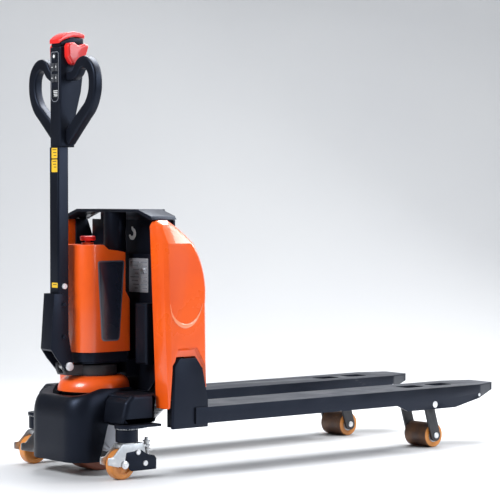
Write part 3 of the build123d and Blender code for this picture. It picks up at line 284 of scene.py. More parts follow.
@dataclass(frozen=True)
class Finish:
    """One surface finish.

    The scales (grain, slow, scuff_scale) are in features per metre. depth is the bump's height in metres.
    """

    name: str
    colour: tuple[float, float, float]
    second: tuple[float, float, float]
    roughness: float = 0.4
    spread: float = 0.1
    metallic: float = 0.0
    coat: float = 0.0
    coat_roughness: float = 0.08
    specular: float = 0.5
    tint: tuple[float, float, float] = (1.0, 1.0, 1.0)
    grain: float = 900.0
    slow: float = 9.0
    depth: float = 0.00004
    scuffs: float = 0.25
    scuff_scale: float = 14.0
    scuff_colour: tuple[float, float, float] = (0.3, 0.3, 0.31)
    dust: float = 0.12
    dust_colour: tuple[float, float, float] = (0.42, 0.40, 0.37)
    brushed: bool = False

    def build(self, effects: Effects) -> bpy.types.Material:
        """Makes the node material.

        Args:
            effects: The shared shader groups.

        Returns:
            The material.
        """
        material = bpy.data.materials.new(self.name)
        material.use_nodes = True
        tree = material.node_tree
        nodes, links = tree.nodes, tree.links
        shader = nodes["Principled BSDF"]
        place = nodes.new("ShaderNodeTexCoord").outputs["Object"]
        geometry = nodes.new("ShaderNodeNewGeometry")

        def group(source: bpy.types.NodeTree, **values: float) -> bpy.types.Node:
            """Places a shared group and sets its numbers.

            Args:
                source: The group.
                values: The number of each input, with _ for a blank in its name.

            Returns:
                The group's node.
            """
            node = nodes.new("ShaderNodeGroup")
            node.node_tree = source
            links.new(place, node.inputs["Vector"])
            for label, value in values.items():
                node.inputs[label.replace("_", " ")].default_value = value
            return node

        def blend(mask: bpy.types.NodeSocket, first: bpy.types.NodeSocket | tuple,
                  second: bpy.types.NodeSocket | tuple) -> bpy.types.NodeSocket:
            """Mixes two colours by a mask.

            Args:
                mask: The share of the second colour.
                first: A socket or a colour.
                second: A socket or a colour.

            Returns:
                The mixed colour's socket.
            """
            node = nodes.new("ShaderNodeMix")
            node.data_type = "RGBA"
            links.new(mask, node.inputs["Factor"])
            for socket, value in ((node.inputs[6], first), (node.inputs[7], second)):
                if isinstance(value, tuple):
                    socket.default_value = (*value, 1.0)
                else:
                    links.new(value, socket)
            return node.outputs[2]

        grain = group(effects.grain, Scale=self.grain, Slow_Scale=self.slow)
        scuff = group(effects.scuff, Scale=self.scuff_scale, Amount=self.scuffs)
        dust = group(effects.dust, Amount=self.dust)
        links.new(geometry.outputs["Normal"], dust.inputs["Normal"])
        tone, height = grain.outputs["Mask"], grain.outputs["Height"]
        if self.brushed:
            lines = group(effects.brushed)
            tone, height = lines.outputs["Mask"], lines.outputs["Height"]
        colour = blend(tone, self.colour, self.second)
        colour = blend(scuff.outputs["Mask"], colour, self.scuff_colour)
        colour = blend(dust.outputs["Mask"], colour, self.dust_colour)
        links.new(colour, shader.inputs["Base Color"])

        def roughen(mask: bpy.types.NodeSocket, share: float, base: Value, clamp: bool = False,
                    ) -> bpy.types.NodeSocket:
            """Adds a share of a mask to a roughness.

            Args:
                mask: The mask.
                share: The roughness that a full mask adds.
                base: The roughness so far, a socket or a number.
                clamp: Whether the sum is kept within 0..1.

            Returns:
                The sum's socket.
            """
            node = nodes.new("ShaderNodeMath")
            node.operation = "MULTIPLY_ADD"
            node.use_clamp = clamp
            node.inputs[1].default_value = share
            links.new(mask, node.inputs[0])
            if isinstance(base, float):
                node.inputs[2].default_value = base
            else:
                links.new(base, node.inputs[2])
            return node.outputs[0]

        rough = roughen(tone, self.spread, self.roughness)
        rough = roughen(scuff.outputs["Mask"], SCUFF_ROUGHNESS, rough)
        rough = roughen(dust.outputs["Mask"], DUST_ROUGHNESS, rough, clamp=True)
        links.new(rough, shader.inputs["Roughness"])

        bump = nodes.new("ShaderNodeBump")
        bump.inputs["Strength"].default_value = 1.0
        bump.inputs["Distance"].default_value = self.depth
        links.new(height, bump.inputs["Height"])
        links.new(bump.outputs["Normal"], shader.inputs["Normal"])
        shader.inputs["Metallic"].default_value = self.metallic
        shader.inputs["Coat Weight"].default_value = self.coat
        shader.inputs["Coat Roughness"].default_value = self.coat_roughness
        shader.inputs["Specular IOR Level"].default_value = self.specular
        shader.inputs["Specular Tint"].default_value = (*self.tint, 1.0)
        return material


COOL = (0.55, 0.68, 1.0)


class Paint(Enum):
    """Every finish of the truck, by the record's material slot or its own use."""

    ORANGE_GLOSS = Finish(
        "orange_gloss_paint", (0.93, 0.115, 0.008), (0.86, 0.095, 0.006), roughness=0.26, spread=0.06,
        coat=0.6, coat_roughness=0.06, grain=420.0, depth=0.00003, scuffs=0.05, scuff_colour=(0.95, 0.3, 0.12),
        dust=0.03)
    # A paler copy of the orange gloss: painted highlight, the bright band along the side covers' ridge.
    ORANGE_PALE = Finish(
        "pale_orange_ridge", (0.95, 0.3, 0.14), (0.92, 0.25, 0.1), roughness=0.24, spread=0.06, coat=0.5,
        grain=420.0, depth=0.00003, scuffs=0.05, scuff_colour=(0.95, 0.45, 0.3), dust=0.03)
    ORANGE_MOULDING = Finish(
        "orange_gloss_moulding", (0.93, 0.12, 0.009), (0.85, 0.098, 0.007), roughness=0.3, spread=0.07,
        coat=0.45, coat_roughness=0.1, grain=700.0, depth=0.00003, scuffs=0.05, scuff_colour=(0.95, 0.3, 0.12),
        dust=0.03)
    BLACK_MOULDING = Finish(
        "black_grained_moulding", (0.003, 0.0036, 0.0062), (0.0048, 0.0056, 0.009), roughness=0.4, spread=0.12,
        grain=1500.0, depth=0.00009, scuffs=0.12, scuff_colour=(0.03, 0.031, 0.034), dust=0.02, specular=0.3,
        tint=COOL)
    BLACK_PAINT = Finish(
        "black_satin_paint", (0.0034, 0.004, 0.007), (0.0052, 0.006, 0.0098), roughness=0.34, spread=0.1,
        grain=650.0, depth=0.00005, scuffs=0.16, scuff_colour=(0.04, 0.04, 0.043), dust=0.02, specular=0.3,
        tint=COOL)
    FORK_PAINT = Finish(
        "fork_worn_paint", (0.005, 0.0057, 0.0088), (0.009, 0.0098, 0.0135), roughness=0.36, spread=0.14,
        grain=500.0, depth=0.00007, scuffs=0.34, scuff_scale=9.0, scuff_colour=(0.07, 0.07, 0.073),
        dust=0.04, specular=0.34, tint=COOL)
    TREAD = Finish(
        "red_brown_polyurethane", (0.25, 0.07, 0.035), (0.32, 0.1, 0.05), roughness=0.45, spread=0.12,
        grain=700.0, depth=0.00008, scuffs=0.3, scuff_colour=(0.22, 0.16, 0.13), dust=0.12)
    CASTER_TREAD = Finish(
        "amber_polyurethane", (0.72, 0.27, 0.05), (0.62, 0.21, 0.035), roughness=0.34, spread=0.12,
        coat=0.2, grain=700.0, depth=0.00006, scuffs=0.22, scuff_colour=(0.36, 0.2, 0.1), dust=0.08)
    ZINC = Finish(
        "zinc_plate", (0.62, 0.63, 0.64), (0.5, 0.52, 0.54), roughness=0.28, spread=0.16, metallic=0.9,
        grain=1200.0, slow=60.0, depth=0.00003, scuffs=0.2, scuff_colour=(0.36, 0.35, 0.33), dust=0.06)
    STEEL = Finish(
        "machined_steel", (0.46, 0.46, 0.47), (0.58, 0.58, 0.59), roughness=0.26, spread=0.18, metallic=1.0,
        depth=0.00004, scuffs=0.2, scuff_colour=(0.25, 0.24, 0.23), dust=0.06, brushed=True)
    CHROME = Finish(
        "hard_chrome", (0.8, 0.8, 0.82), (0.7, 0.7, 0.73), roughness=0.08, spread=0.06, metallic=1.0,
        depth=0.00001, scuffs=0.08, scuff_colour=(0.4, 0.4, 0.4), dust=0.03, brushed=True)
    CAST = Finish(
        "dark_cast_iron", (0.022, 0.023, 0.028), (0.04, 0.041, 0.046), roughness=0.46, spread=0.16,
        grain=380.0, slow=40.0, depth=0.00028, scuffs=0.2, scuff_colour=(0.14, 0.14, 0.14), dust=0.1)
    MOTOR = Finish(
        "grey_motor_paint", (0.3, 0.31, 0.34), (0.38, 0.39, 0.42), roughness=0.4, spread=0.12, metallic=0.3,
        grain=420.0, slow=30.0, depth=0.00016, scuffs=0.2, scuff_colour=(0.22, 0.22, 0.23), dust=0.1)
    RED = Finish(
        "red_gloss_moulding", (0.8, 0.025, 0.02), (0.68, 0.018, 0.016), roughness=0.3, spread=0.08, coat=0.35,
        grain=900.0, depth=0.00003, scuffs=0.06, scuff_colour=(0.85, 0.2, 0.16), dust=0.03)
    KEY = Finish(
        "grey_key_moulding", (0.03, 0.033, 0.04), (0.045, 0.048, 0.056), roughness=0.42, spread=0.1,
        grain=1500.0, depth=0.00004, scuffs=0.1, dust=0.05)
    SHOE = Finish(
        "natural_slide_moulding", (0.62, 0.6, 0.54), (0.52, 0.5, 0.45), roughness=0.5, spread=0.1,
        grain=800.0, depth=0.00005, scuffs=0.3, scuff_colour=(0.25, 0.24, 0.22), dust=0.1)
    NAVY = Finish(
        "dark_badge_panel", (0.012, 0.016, 0.03), (0.02, 0.025, 0.042), roughness=0.22, spread=0.08, coat=0.4,
        grain=1400.0, depth=0.00002, scuffs=0.05, scuff_colour=(0.08, 0.09, 0.11), dust=0.03)
    RIM = Finish(
        "grey_badge_rim", (0.1, 0.11, 0.14), (0.14, 0.15, 0.19), roughness=0.3, spread=0.1, metallic=0.3,
        coat=0.3, grain=1400.0, depth=0.00003, scuffs=0.06, dust=0.03)
    PLATE = Finish(
        "anodised_rating_plate", (0.55, 0.56, 0.6), (0.66, 0.67, 0.71), roughness=0.34, spread=0.14,
        metallic=0.7, depth=0.00002, scuffs=0.12, scuff_colour=(0.4, 0.4, 0.42), dust=0.03, brushed=True)
    PRINT = Finish(
        "grey_printed_bars", (0.2, 0.21, 0.24), (0.26, 0.27, 0.3), roughness=0.45, spread=0.1, grain=900.0,
        depth=0.00001, scuffs=0.1, dust=0.02)
    WHITE = Finish(
        "white_print", (0.85, 0.85, 0.84), (0.74, 0.74, 0.73), roughness=0.42, spread=0.1, grain=900.0,
        depth=0.00001, scuffs=0.06, scuff_colour=(0.55, 0.55, 0.54), dust=0.02)
    YELLOW = Finish(
        "yellow_label", (0.9, 0.58, 0.03), (0.82, 0.5, 0.02), roughness=0.36, spread=0.1, coat=0.25,
        grain=900.0, depth=0.00001, scuffs=0.08, scuff_colour=(0.6, 0.45, 0.1), dust=0.02)
    GLASS_DARK = Finish(
        "dark_display_window", (0.01, 0.014, 0.018), (0.03, 0.036, 0.04), roughness=0.08, spread=0.06, coat=0.8,
        coat_roughness=0.03, grain=300.0, depth=0.00001, scuffs=0.04, dust=0.02)
    INK = Finish(
        "black_print", (0.01, 0.01, 0.012), (0.02, 0.02, 0.022), roughness=0.5, spread=0.1, grain=900.0,
        depth=0.00001, scuffs=0.05, scuff_colour=(0.1, 0.1, 0.1), dust=0.02)
    WHITE_ZINC = Finish(
        "bright_plated_screw", (0.86, 0.87, 0.89), (0.74, 0.75, 0.77), roughness=0.3, spread=0.12,
        metallic=0.55, grain=1200.0, slow=80.0, depth=0.00002, scuffs=0.1,
        scuff_colour=(0.55, 0.55, 0.56), dust=0.03)
    MOTOR_LIGHT = Finish(
        "light_grey_casting", (0.6, 0.62, 0.68), (0.7, 0.72, 0.78), roughness=0.42, spread=0.12, metallic=0.25,
        grain=420.0, slow=30.0, depth=0.00018, scuffs=0.2, scuff_colour=(0.3, 0.3, 0.32), dust=0.06)
    LOAD_TREAD = Finish(
        "dark_tan_polyurethane", (0.10, 0.055, 0.04), (0.2, 0.095, 0.045), roughness=0.42, spread=0.14,
        grain=600.0, slow=26.0, depth=0.00008, scuffs=0.35, scuff_colour=(0.3, 0.24, 0.2), dust=0.1)
    FLOOR = Finish(
        "pale_studio_floor", (0.64, 0.645, 0.65), (0.615, 0.62, 0.63), roughness=0.55, spread=0.08, grain=60.0,
        slow=0.7, depth=0.0001, scuffs=0.0, scuff_colour=(0.75, 0.75, 0.75), dust=0.0)


SLOT_PAINT = {
    "orange_gloss": Paint.ORANGE_GLOSS, "orange_moulding": Paint.ORANGE_MOULDING,
    "black_moulding": Paint.BLACK_MOULDING, "black_paint": Paint.BLACK_PAINT, "fork_paint": Paint.FORK_PAINT,
    "tread": Paint.TREAD, "caster_tread": Paint.CASTER_TREAD, "zinc": Paint.ZINC, "steel": Paint.STEEL,
    "chrome_rod": Paint.CHROME, "cast": Paint.CAST, "motor": Paint.MOTOR, "red_moulding": Paint.RED,
    "grey_key": Paint.KEY, "shoe": Paint.SHOE}


class PaintShop:
    """Makes each finish once and hands it out."""

    def __init__(self) -> None:
        """Builds the shared groups."""
        self.effects = Effects()
        self.made: dict[Paint, bpy.types.Material] = {}

    def get(self, paint: Paint) -> bpy.types.Material:
        """The material of a finish, made on first use."""
        if paint not in self.made:
            self.made[paint] = paint.value.build(self.effects)
        return self.made[paint]


SHOP = PaintShop()


# ---------------------------------------------------------------- meshes
def metres(point: Vector) -> Vector:
    """A point from heel millimetres to metres in the shared frame."""
    return Vector(((point[0] + HEEL) * MM, point[1] * MM, point[2] * MM))


def rounded(corners: Sequence[Corner], steps: int = 6) -> list[Point]:
    """A closed outline with round corners.

    Args:
        corners: Two coordinates and a radius for each corner, in order.
        steps: Pieces of each arc.

    Returns:
        The outline's points.
    """
    made: list[Point] = []
    count = len(corners)
    for index, (a, b, radius) in enumerate(corners):
        here = Vector((a, b))
        back = Vector(corners[index - 1][:2]) - here
        ahead = Vector(corners[(index + 1) % count][:2]) - here
        turn = back.angle(ahead)
        if radius < 1e-3 or abs(turn - math.pi) < 1e-3:
            made.append((a, b))
            continue
        reach = min(radius / math.tan(turn / 2), 0.49 * back.length, 0.49 * ahead.length)
        radius = reach * math.tan(turn / 2)
        first = here + back.normalized() * reach
        last = here + ahead.normalized() * reach
        centre = here + (back.normalized() + ahead.normalized()).normalized() * (radius / math.sin(turn / 2))
        start = math.atan2(first.y - centre.y, first.x - centre.x)
        sweep = math.atan2(last.y - centre.y, last.x - centre.x) - start
        sweep = (sweep + math.pi) % (2 * math.pi) - math.pi
        for step in range(steps + 1):
            angle = start + sweep * step / steps
            made.append((centre.x + radius * math.cos(angle), centre.y + radius * math.sin(angle)))
    return made


def inset(points: Sequence[Point], amount: float) -> list[Point]:
    """Draws an outline in.

    Args:
        points: The closed outline.
        amount: How far, outwards if it is negative.

    Returns:
        The new outline.
    """
    area = sum(p[0] * q[1] - q[0] * p[1] for p, q in zip(points, [*points[1:], points[0]]))
    way = 1.0 if area > 0 else -1.0
    made = []
    count = len(points)
    for index, here in enumerate(points):
        before, after = points[index - 1], points[(index + 1) % count]
        first = Vector((here[0] - before[0], here[1] - before[1]))
        second = Vector((after[0] - here[0], after[1] - here[1]))
        if first.length < 1e-9 or second.length < 1e-9:
            made.append(here)
            continue
        first.normalize()
        second.normalize()
        normal = Vector((-(first.y + second.y), first.x + second.x)) * way
        if normal.length < 1e-6:
            made.append(here)
            continue
        normal.normalize()
        flat = Vector((-first.y, first.x)) * way
        share = amount / max(0.55, normal.dot(flat))
        made.append((here[0] + normal.x * share, here[1] + normal.y * share))
    return made


def lift(point: Point, depth: float, facing: Facing) -> Vector:
    """Places an outline point at a depth along an axis.

    Args:
        point: The point in the outline's plane.
        depth: The place along the axis.
        facing: The axis.

    Returns:
        The point in space.
    """
    if facing is Facing.Y:
        return Vector((point[0], depth, point[1]))
    if facing is Facing.Z:
        return Vector((point[0], point[1], depth))
    return Vector((depth, point[0], point[1]))


def linked(name: str, mesh: bpy.types.Mesh) -> bpy.types.Object:
    """Puts a mesh into the scene as an object at the origin."""
    item = bpy.data.objects.new(name, mesh)
    bpy.context.scene.collection.objects.link(item)
    return item


def shade_smooth(mesh: bpy.types.Mesh, angle: float = SHARP_ANGLE) -> None:
    """Shades a mesh smoothly between edges sharper than an angle."""
    mesh.polygons.foreach_set("use_smooth", [True] * len(mesh.polygons))
    mesh.set_sharp_from_angle(angle=angle)


def mesh_object(name: str, work: bmesh.types.BMesh) -> bpy.types.Object:
    """Turns a working mesh in heel millimetres into an object in metres.

    Args:
        name: The object's name.
        work: The working mesh, freed afterwards.

    Returns:
        The linked object.
    """
    bmesh.ops.remove_doubles(work, verts=work.verts, dist=WELD)
    bmesh.ops.recalc_face_normals(work, faces=work.faces)
    for vertex in work.verts:
        vertex.co = metres(vertex.co)
    mesh = bpy.data.meshes.new(name)
    work.to_mesh(mesh)
    work.free()
    shade_smooth(mesh)
    return linked(name, mesh)


def add_rings(work: bmesh.types.BMesh, rings: Sequence[Sequence[Vector]], loop: bool = False) -> None:
    """Adds faces between closed rings of equal count.

    Args:
        work: The mesh to add to.
        rings: The rings in order.
        loop: Whether the last ring joins the first. Otherwise both get a face.
    """
    made = [[work.verts.new(point) for point in ring] for ring in rings]
    count = len(made[0])
    pairs = list(zip(made, made[1:]))
    if loop:
        pairs.append((made[-1], made[0]))
    for low, high in pairs:
        for index in range(count):
            after = (index + 1) % count
            work.faces.new((low[index], low[after], high[after], high[index]))
    if not loop:
        work.faces.new(list(reversed(made[0])))
        work.faces.new(made[-1])


def slab(work: bmesh.types.BMesh, outline: Sequence[Point], low: float, high: float, facing: Facing,
         edge: float = 1.0, low_edge: float | None = None, steps: int = 3, flat: bool = False) -> None:
    """Adds a thick outline with rounded or bevelled rims to a working mesh.

    Args:
        work: The mesh to add to.
        outline: The outline.
        low: The lower depth.
        high: The upper depth.
        facing: The axis of the depth.
        edge: The rounding of the upper rim, inwards.
        low_edge: The rounding of the lower rim, the same if left out.
        steps: Pieces of each rounding.
        flat: Whether the rims are flat bevels with softened borders instead of round.
    """
    low_edge = edge if low_edge is None else low_edge
    turns = [math.pi / 2 * step / steps for step in range(steps + 1)]
    rim = [(1 - math.cos(turn), 1 - math.sin(turn)) for turn in turns]
    if flat:
        rim = [(0.0, 1.0), (0.015, 0.93), (0.06, 0.87), (0.87, 0.06), (0.93, 0.015), (1.0, 0.0)]
    rings = [[lift(p, low + low_edge * drop, facing) for p in inset(outline, low_edge * drawn)]
             for drawn, drop in reversed(rim)]
    rings += [[lift(p, high - edge * drop, facing) for p in inset(outline, edge * drawn)]
              for drawn, drop in rim]
    add_rings(work, rings)


def box_outline(left: float, right: float, low: float, high: float, radius: float = 0.0) -> list[Corner]:
    """The corners of an upright rectangle, with one radius."""
    return [(left, low, radius), (right, low, radius), (right, high, radius), (left, high, radius)]


def bar(left: float, right: float, low: float, high: float) -> list[Point]:
    """A plain rectangle's outline."""
    return [(left, low), (right, low), (right, high), (left, high)]


def slabs(name: str, outlines: Sequence[Sequence[Point]], low: float, high: float, facing: Facing,
          **shape: float) -> bpy.types.Object:
    """An object of slabs between the same two depths.

    Args:
        name: The object's name.
        outlines: The outline of each slab.
        low: The lower depth.
        high: The upper depth.
        facing: The axis of the depth.
        shape: The rims, as a slab takes them.

    Returns:
        The object.
    """
    work = bmesh.new()
    for outline in outlines:
        slab(work, outline, low, high, facing, **shape)
    return mesh_object(name, work)


def circle(a: float, b: float, radius: float, count: int = 48) -> list[Point]:
    """A round outline."""
    return [(a + radius * math.cos(2 * math.pi * i / count), b + radius * math.sin(2 * math.pi * i / count))
            for i in range(count)]


def lathe(work: bmesh.types.BMesh, centre: Point, facing: Facing, profile: Sequence[Point],
          count: int = 48) -> None:
    """Adds a turned shape.

    Args:
        work: The mesh to add to.
        centre: The axis in the outline's plane.
        facing: The direction of the axis.
        profile: Radius and place along the axis of each step.
        count: Sides.
    """
    rings = [[lift(p, depth, facing) for p in circle(*centre, radius, count)] for radius, depth in profile]
    add_rings(work, rings)


def smooth_path(points: Sequence[Vector], per_span: int = 8) -> list[Vector]:
    """A Catmull-Rom path through points.

    Args:
        points: The points.
        per_span: Pieces between two points.

    Returns:
        The path's points.
    """
    made = []
    for index in range(len(points) - 1):
        p0 = points[max(index - 1, 0)]
        p1, p2 = points[index], points[index + 1]
        p3 = points[min(index + 2, len(points) - 1)]
        for step in range(per_span):
            t = step / per_span
            made.append(0.5 * ((2 * p1) + (p2 - p0) * t + (2 * p0 - 5 * p1 + 4 * p2 - p3) * t * t
                               + (3 * p1 - p0 - 3 * p2 + p3) * t ** 3))
    made.append(points[-1])
    return made


def sweep(work: bmesh.types.BMesh, path: Sequence[Vector], sizes: Callable[[float], Point],
          across: Vector, count: int = 24, square: float = 1.0) -> None:
    """Adds an oval bar along a path.

    Args:
        work: The mesh to add to.
        path: The centre line.
        sizes: Half thickness across and half thickness beside the path, by share of the path.
        across: The direction of the first half thickness, square to the path.
        count: Points round the bar.
        square: 1 for an oval section, less for flatter sides.
    """
    turns = [(math.cos(2 * math.pi * (k + 0.5) / count), math.sin(2 * math.pi * (k + 0.5) / count))
             for k in range(count)]
    turns = [(math.copysign(abs(a) ** square, a), math.copysign(abs(b) ** square, b)) for a, b in turns]
    rings = []
    for index, here in enumerate(path):
        along = (path[min(index + 1, len(path) - 1)] - path[max(index - 1, 0)]).normalized()
        beside = along.cross(across).normalized()
        wide, thick = sizes(index / (len(path) - 1))
        rings.append([here + across * (wide * a) + beside * (thick * b) for a, b in turns])
    add_rings(work, rings)


def cut(item: bpy.types.Object, cutters: Sequence[bpy.types.Object]) -> None:
    """Takes cutters away from an object and removes them.

    Args:
        item: The object, which keeps the result.
        cutters: The shapes to take away.
    """
    for cutter in cutters:
        modifier = item.modifiers.new("cut", "BOOLEAN")
        modifier.operation = "DIFFERENCE"
        modifier.solver = "EXACT"
        modifier.object = cutter
        modifier.use_self = True
    evaluated = item.evaluated_get(bpy.context.evaluated_depsgraph_get())
    mesh = bpy.data.meshes.new_from_object(evaluated)
    item.modifiers.clear()
    item.data = mesh
    shade_smooth(mesh)
    for cutter in cutters:
        bpy.data.objects.remove(cutter)


def dress(item: bpy.types.Object, paint: Paint, body: str, slot: str, *nodes: str) -> bpy.types.Object:
    """Gives a piece its finish and its body, and hides the CAD nodes it stands for.

    Args:
        item: The piece.
        paint: Its finish.
        body: The CAD body it rides on.
        slot: The record's material slot; not used.
        nodes: CAD nodes it replaces.

    Returns:
        The piece.
    """
    item.data.materials.clear()
    item.data.materials.append(SHOP.get(paint))
    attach(item, body)
    if nodes:
        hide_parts(*nodes)
    LOG.info("%s on %s: %d faces", item.name, body, len(item.data.polygons))
    return item


# ---------------------------------------------------------------- repeats made by Geometry Nodes
def add_inputs(tree: bpy.types.NodeTree, sizes: dict[str, float]) -> None:
    """Adds one named number input for each size."""
    for label, value in sizes.items():
        socket = tree.interface.new_socket(label, in_out="INPUT", socket_type="NodeSocketFloat")
        socket.default_value = value


def finish_tree(tree: bpy.types.NodeTree, shape: bpy.types.NodeSocket, paint: "Paint") -> None:
    """Ends a tree in Realize Instances and Set Material.

    Args:
        tree: The tree, which gets its geometry output here.
        shape: The socket with the shape.
        paint: The finish.
    """
    tree.interface.new_socket("Geometry", in_out="OUTPUT", socket_type="NodeSocketGeometry")
    realize = tree.nodes.new("GeometryNodeRealizeInstances")
    tree.links.new(shape, realize.inputs[0])
    shade = tree.nodes.new("GeometryNodeSetMaterial")
    shade.inputs["Material"].default_value = SHOP.get(paint)
    tree.links.new(realize.outputs[0], shade.inputs["Geometry"])
    tree.links.new(shade.outputs[0], tree.nodes.new("NodeGroupOutput").inputs["Geometry"])


def run_tree(name: str, mesh: bpy.types.Mesh, tree: bpy.types.NodeTree,
             sizes: dict[str, float]) -> bpy.types.Mesh:
    """Runs a tree on a mesh and keeps the result as a plain mesh.

    Args:
        name: The result's name.
        mesh: The mesh the tree starts from.
        tree: The Geometry Nodes tree.
        sizes: The value of each named input.

    Returns:
        The plain mesh.
    """
    seed = linked(name + "_seed", mesh)
    modifier = seed.modifiers.new("pattern", "NODES")
    modifier.node_group = tree
    for socket in tree.interface.items_tree:
        if socket.item_type == "SOCKET" and socket.in_out == "INPUT" and socket.name in sizes:
            modifier[socket.identifier] = sizes[socket.name]
    made = bpy.data.meshes.new_from_object(seed.evaluated_get(bpy.context.evaluated_depsgraph_get()))
    bpy.data.objects.remove(seed)
    made.name = name
    return made


@dataclass
class HeadPattern:
    """Screw and bolt heads set out by a Geometry Nodes tree on points that face one way."""

    radius: float = 6.0
    height: float = 4.0
    recess: float = 0.52
    sides: int = 20
    barrel_share: float = 0.7

    def sizes(self) -> dict[str, float]:
        """The tree's named inputs."""
        return {"Radius": self.radius * MM, "Height": self.height * MM, "Recess": self.recess}

    def tree(self, paint: Paint) -> bpy.types.NodeTree:
        """The tree that puts a domed head with a socket on each point.

        Args:
            paint: The heads' finish.

        Returns:
            The Geometry Nodes tree.
        """
        tree = bpy.data.node_groups.new("bolt_heads", "GeometryNodeTree")
        tree.interface.new_socket("Geometry", in_out="INPUT", socket_type="NodeSocketGeometry")
        add_inputs(tree, self.sizes())
        nodes, links = tree.nodes, tree.links
        start = nodes.new("NodeGroupInput")

        def times(first: bpy.types.NodeSocket, second: Value) -> bpy.types.NodeSocket:
            """Multiplies a socket with a socket or a number."""
            node = nodes.new("ShaderNodeMath")
            node.operation = "MULTIPLY"
            links.new(first, node.inputs[0])
            if isinstance(second, (int, float)):
                node.inputs[1].default_value = second
            else:
                links.new(second, node.inputs[1])
            return node.outputs[0]

        def drum(radius: bpy.types.NodeSocket, depth: bpy.types.NodeSocket, top_share: float,
                 sides: int) -> bpy.types.NodeSocket:
            """A drum that narrows to the top.

            Args:
                radius: The radius of its foot.
                depth: Its depth.
                top_share: The top's radius as a share of the foot's.
                sides: Sides.

            Returns:
                The drum's mesh.
            """
            cone = nodes.new("GeometryNodeMeshCone")
            cone.inputs["Vertices"].default_value = sides
            links.new(radius, cone.inputs["Radius Bottom"])
            links.new(times(radius, top_share), cone.inputs["Radius Top"])
            links.new(depth, cone.inputs["Depth"])
            return cone.outputs["Mesh"]

        def raised(mesh: bpy.types.NodeSocket, depth: bpy.types.NodeSocket) -> bpy.types.NodeSocket:
            """Moves a shape up by a depth."""
            move = nodes.new("GeometryNodeTransform")
            vector = nodes.new("ShaderNodeCombineXYZ")
            links.new(depth, vector.inputs["Z"])
            links.new(mesh, move.inputs["Geometry"])
            links.new(vector.outputs[0], move.inputs["Translation"])
            return move.outputs[0]

        radius, height = start.outputs["Radius"], start.outputs["Height"]
        barrel = drum(radius, times(height, self.barrel_share), 1.0, self.sides)
        dome = raised(drum(radius, times(height, 1 - self.barrel_share), 0.82, self.sides),
                      times(height, self.barrel_share))
        socket_radius = times(radius, start.outputs["Recess"])
        lip = raised(drum(socket_radius, times(height, 0.1), 0.9, 6), height)
        join = nodes.new("GeometryNodeJoinGeometry")
        for part in (barrel, dome, lip):
            links.new(part, join.inputs[0])
        facing = nodes.new("GeometryNodeInputNamedAttribute")
        facing.data_type = "FLOAT_VECTOR"
        facing.inputs["Name"].default_value = "facing"
        turn = nodes.new("FunctionNodeAlignRotationToVector")
        turn.axis = "Z"
        links.new(facing.outputs["Attribute"], turn.inputs["Vector"])
        on_points = nodes.new("GeometryNodeInstanceOnPoints")
        links.new(start.outputs["Geometry"], on_points.inputs["Points"])
        links.new(join.outputs[0], on_points.inputs["Instance"])
        links.new(turn.outputs["Rotation"], on_points.inputs["Rotation"])
        finish_tree(tree, on_points.outputs[0], paint)
        return tree

    def build(self, name: str, points: Sequence[tuple[Sequence[float], Sequence[float]]], paint: Paint,
              body: str, slot: str, *nodes: str) -> bpy.types.Object:
        """Sets the heads on points and turns the result into a plain mesh.

        Args:
            name: The piece's name.
            points: Place and outward direction of each head, in heel millimetres.
            paint: The finish.
            body: The CAD body it rides on.
            slot: The record's material slot.
            nodes: CAD nodes it replaces.

        Returns:
            The piece.
        """
        mesh = bpy.data.meshes.new(name + "_points")
        mesh.from_pydata([metres(Vector(place)) for place, _ in points], [], [])
        attribute = mesh.attributes.new("facing", "FLOAT_VECTOR", "POINT")
        attribute.data.foreach_set("vector", [value for _, way in points for value in way])
        made = run_tree(name, mesh, self.tree(paint), self.sizes())
        made.set_sharp_from_angle(angle=SHARP_ANGLE)
        return dress(linked(name, made), paint, body, slot, *nodes)


@dataclass
class CoilPattern:
    """A wound spring made by a Geometry Nodes tree from a spiral and a wire."""

    radius: float
    wire: float
    height: float
    turns: float

    def build(self, name: str, foot: Sequence[float], facing: Facing, paint: Paint, body: str, slot: str,
              *nodes: str) -> bpy.types.Object:
        """Makes one spring.

        Args:
            name: The piece's name.
            foot: The middle of its lower end, in heel millimetres.
            facing: The direction of its axis.
            paint: The finish.
            body: The CAD body it rides on.
            slot: The record's material slot.
            nodes: CAD nodes it replaces.

        Returns:
            The piece.
        """
        tree = bpy.data.node_groups.new("wound_spring", "GeometryNodeTree")
        sizes = {"Radius": self.radius * MM, "Wire": self.wire * MM, "Height": self.height * MM}
        add_inputs(tree, sizes)
        work = tree.nodes
        start = work.new("NodeGroupInput")
        spiral = work.new("GeometryNodeCurveSpiral")
        spiral.inputs["Resolution"].default_value = 28
        spiral.inputs["Rotations"].default_value = self.turns
        for label in ("Start Radius", "End Radius"):
            tree.links.new(start.outputs["Radius"], spiral.inputs[label])
        tree.links.new(start.outputs["Height"], spiral.inputs["Height"])
        wire = work.new("GeometryNodeCurvePrimitiveCircle")
        wire.inputs["Resolution"].default_value = 10
        tree.links.new(start.outputs["Wire"], wire.inputs["Radius"])
        solid = work.new("GeometryNodeCurveToMesh")
        solid.inputs["Fill Caps"].default_value = True
        tree.links.new(spiral.outputs[0], solid.inputs["Curve"])
        tree.links.new(wire.outputs[0], solid.inputs["Profile Curve"])
        finish_tree(tree, solid.outputs[0], paint)
        made = run_tree(name, bpy.data.meshes.new(name + "_seed"), tree, sizes)
        turn = {Facing.Z: Matrix.Identity(4), Facing.Y: Matrix.Rotation(-math.pi / 2, 4, "X"),
                Facing.X: Matrix.Rotation(math.pi / 2, 4, "Y")}[facing]
        made.transform(Matrix.Translation(metres(Vector(foot))) @ turn)
        return dress(linked(name, made), paint, body, slot, *nodes)


# ---------------------------------------------------------------- CAD pieces finished with fine edges
def node_bodies() -> dict[str, str]:
    """The body of every CAD node."""
    return {node: body for body, nodes in frame["record"]["behaviour"]["bodies"].items() for node in nodes}


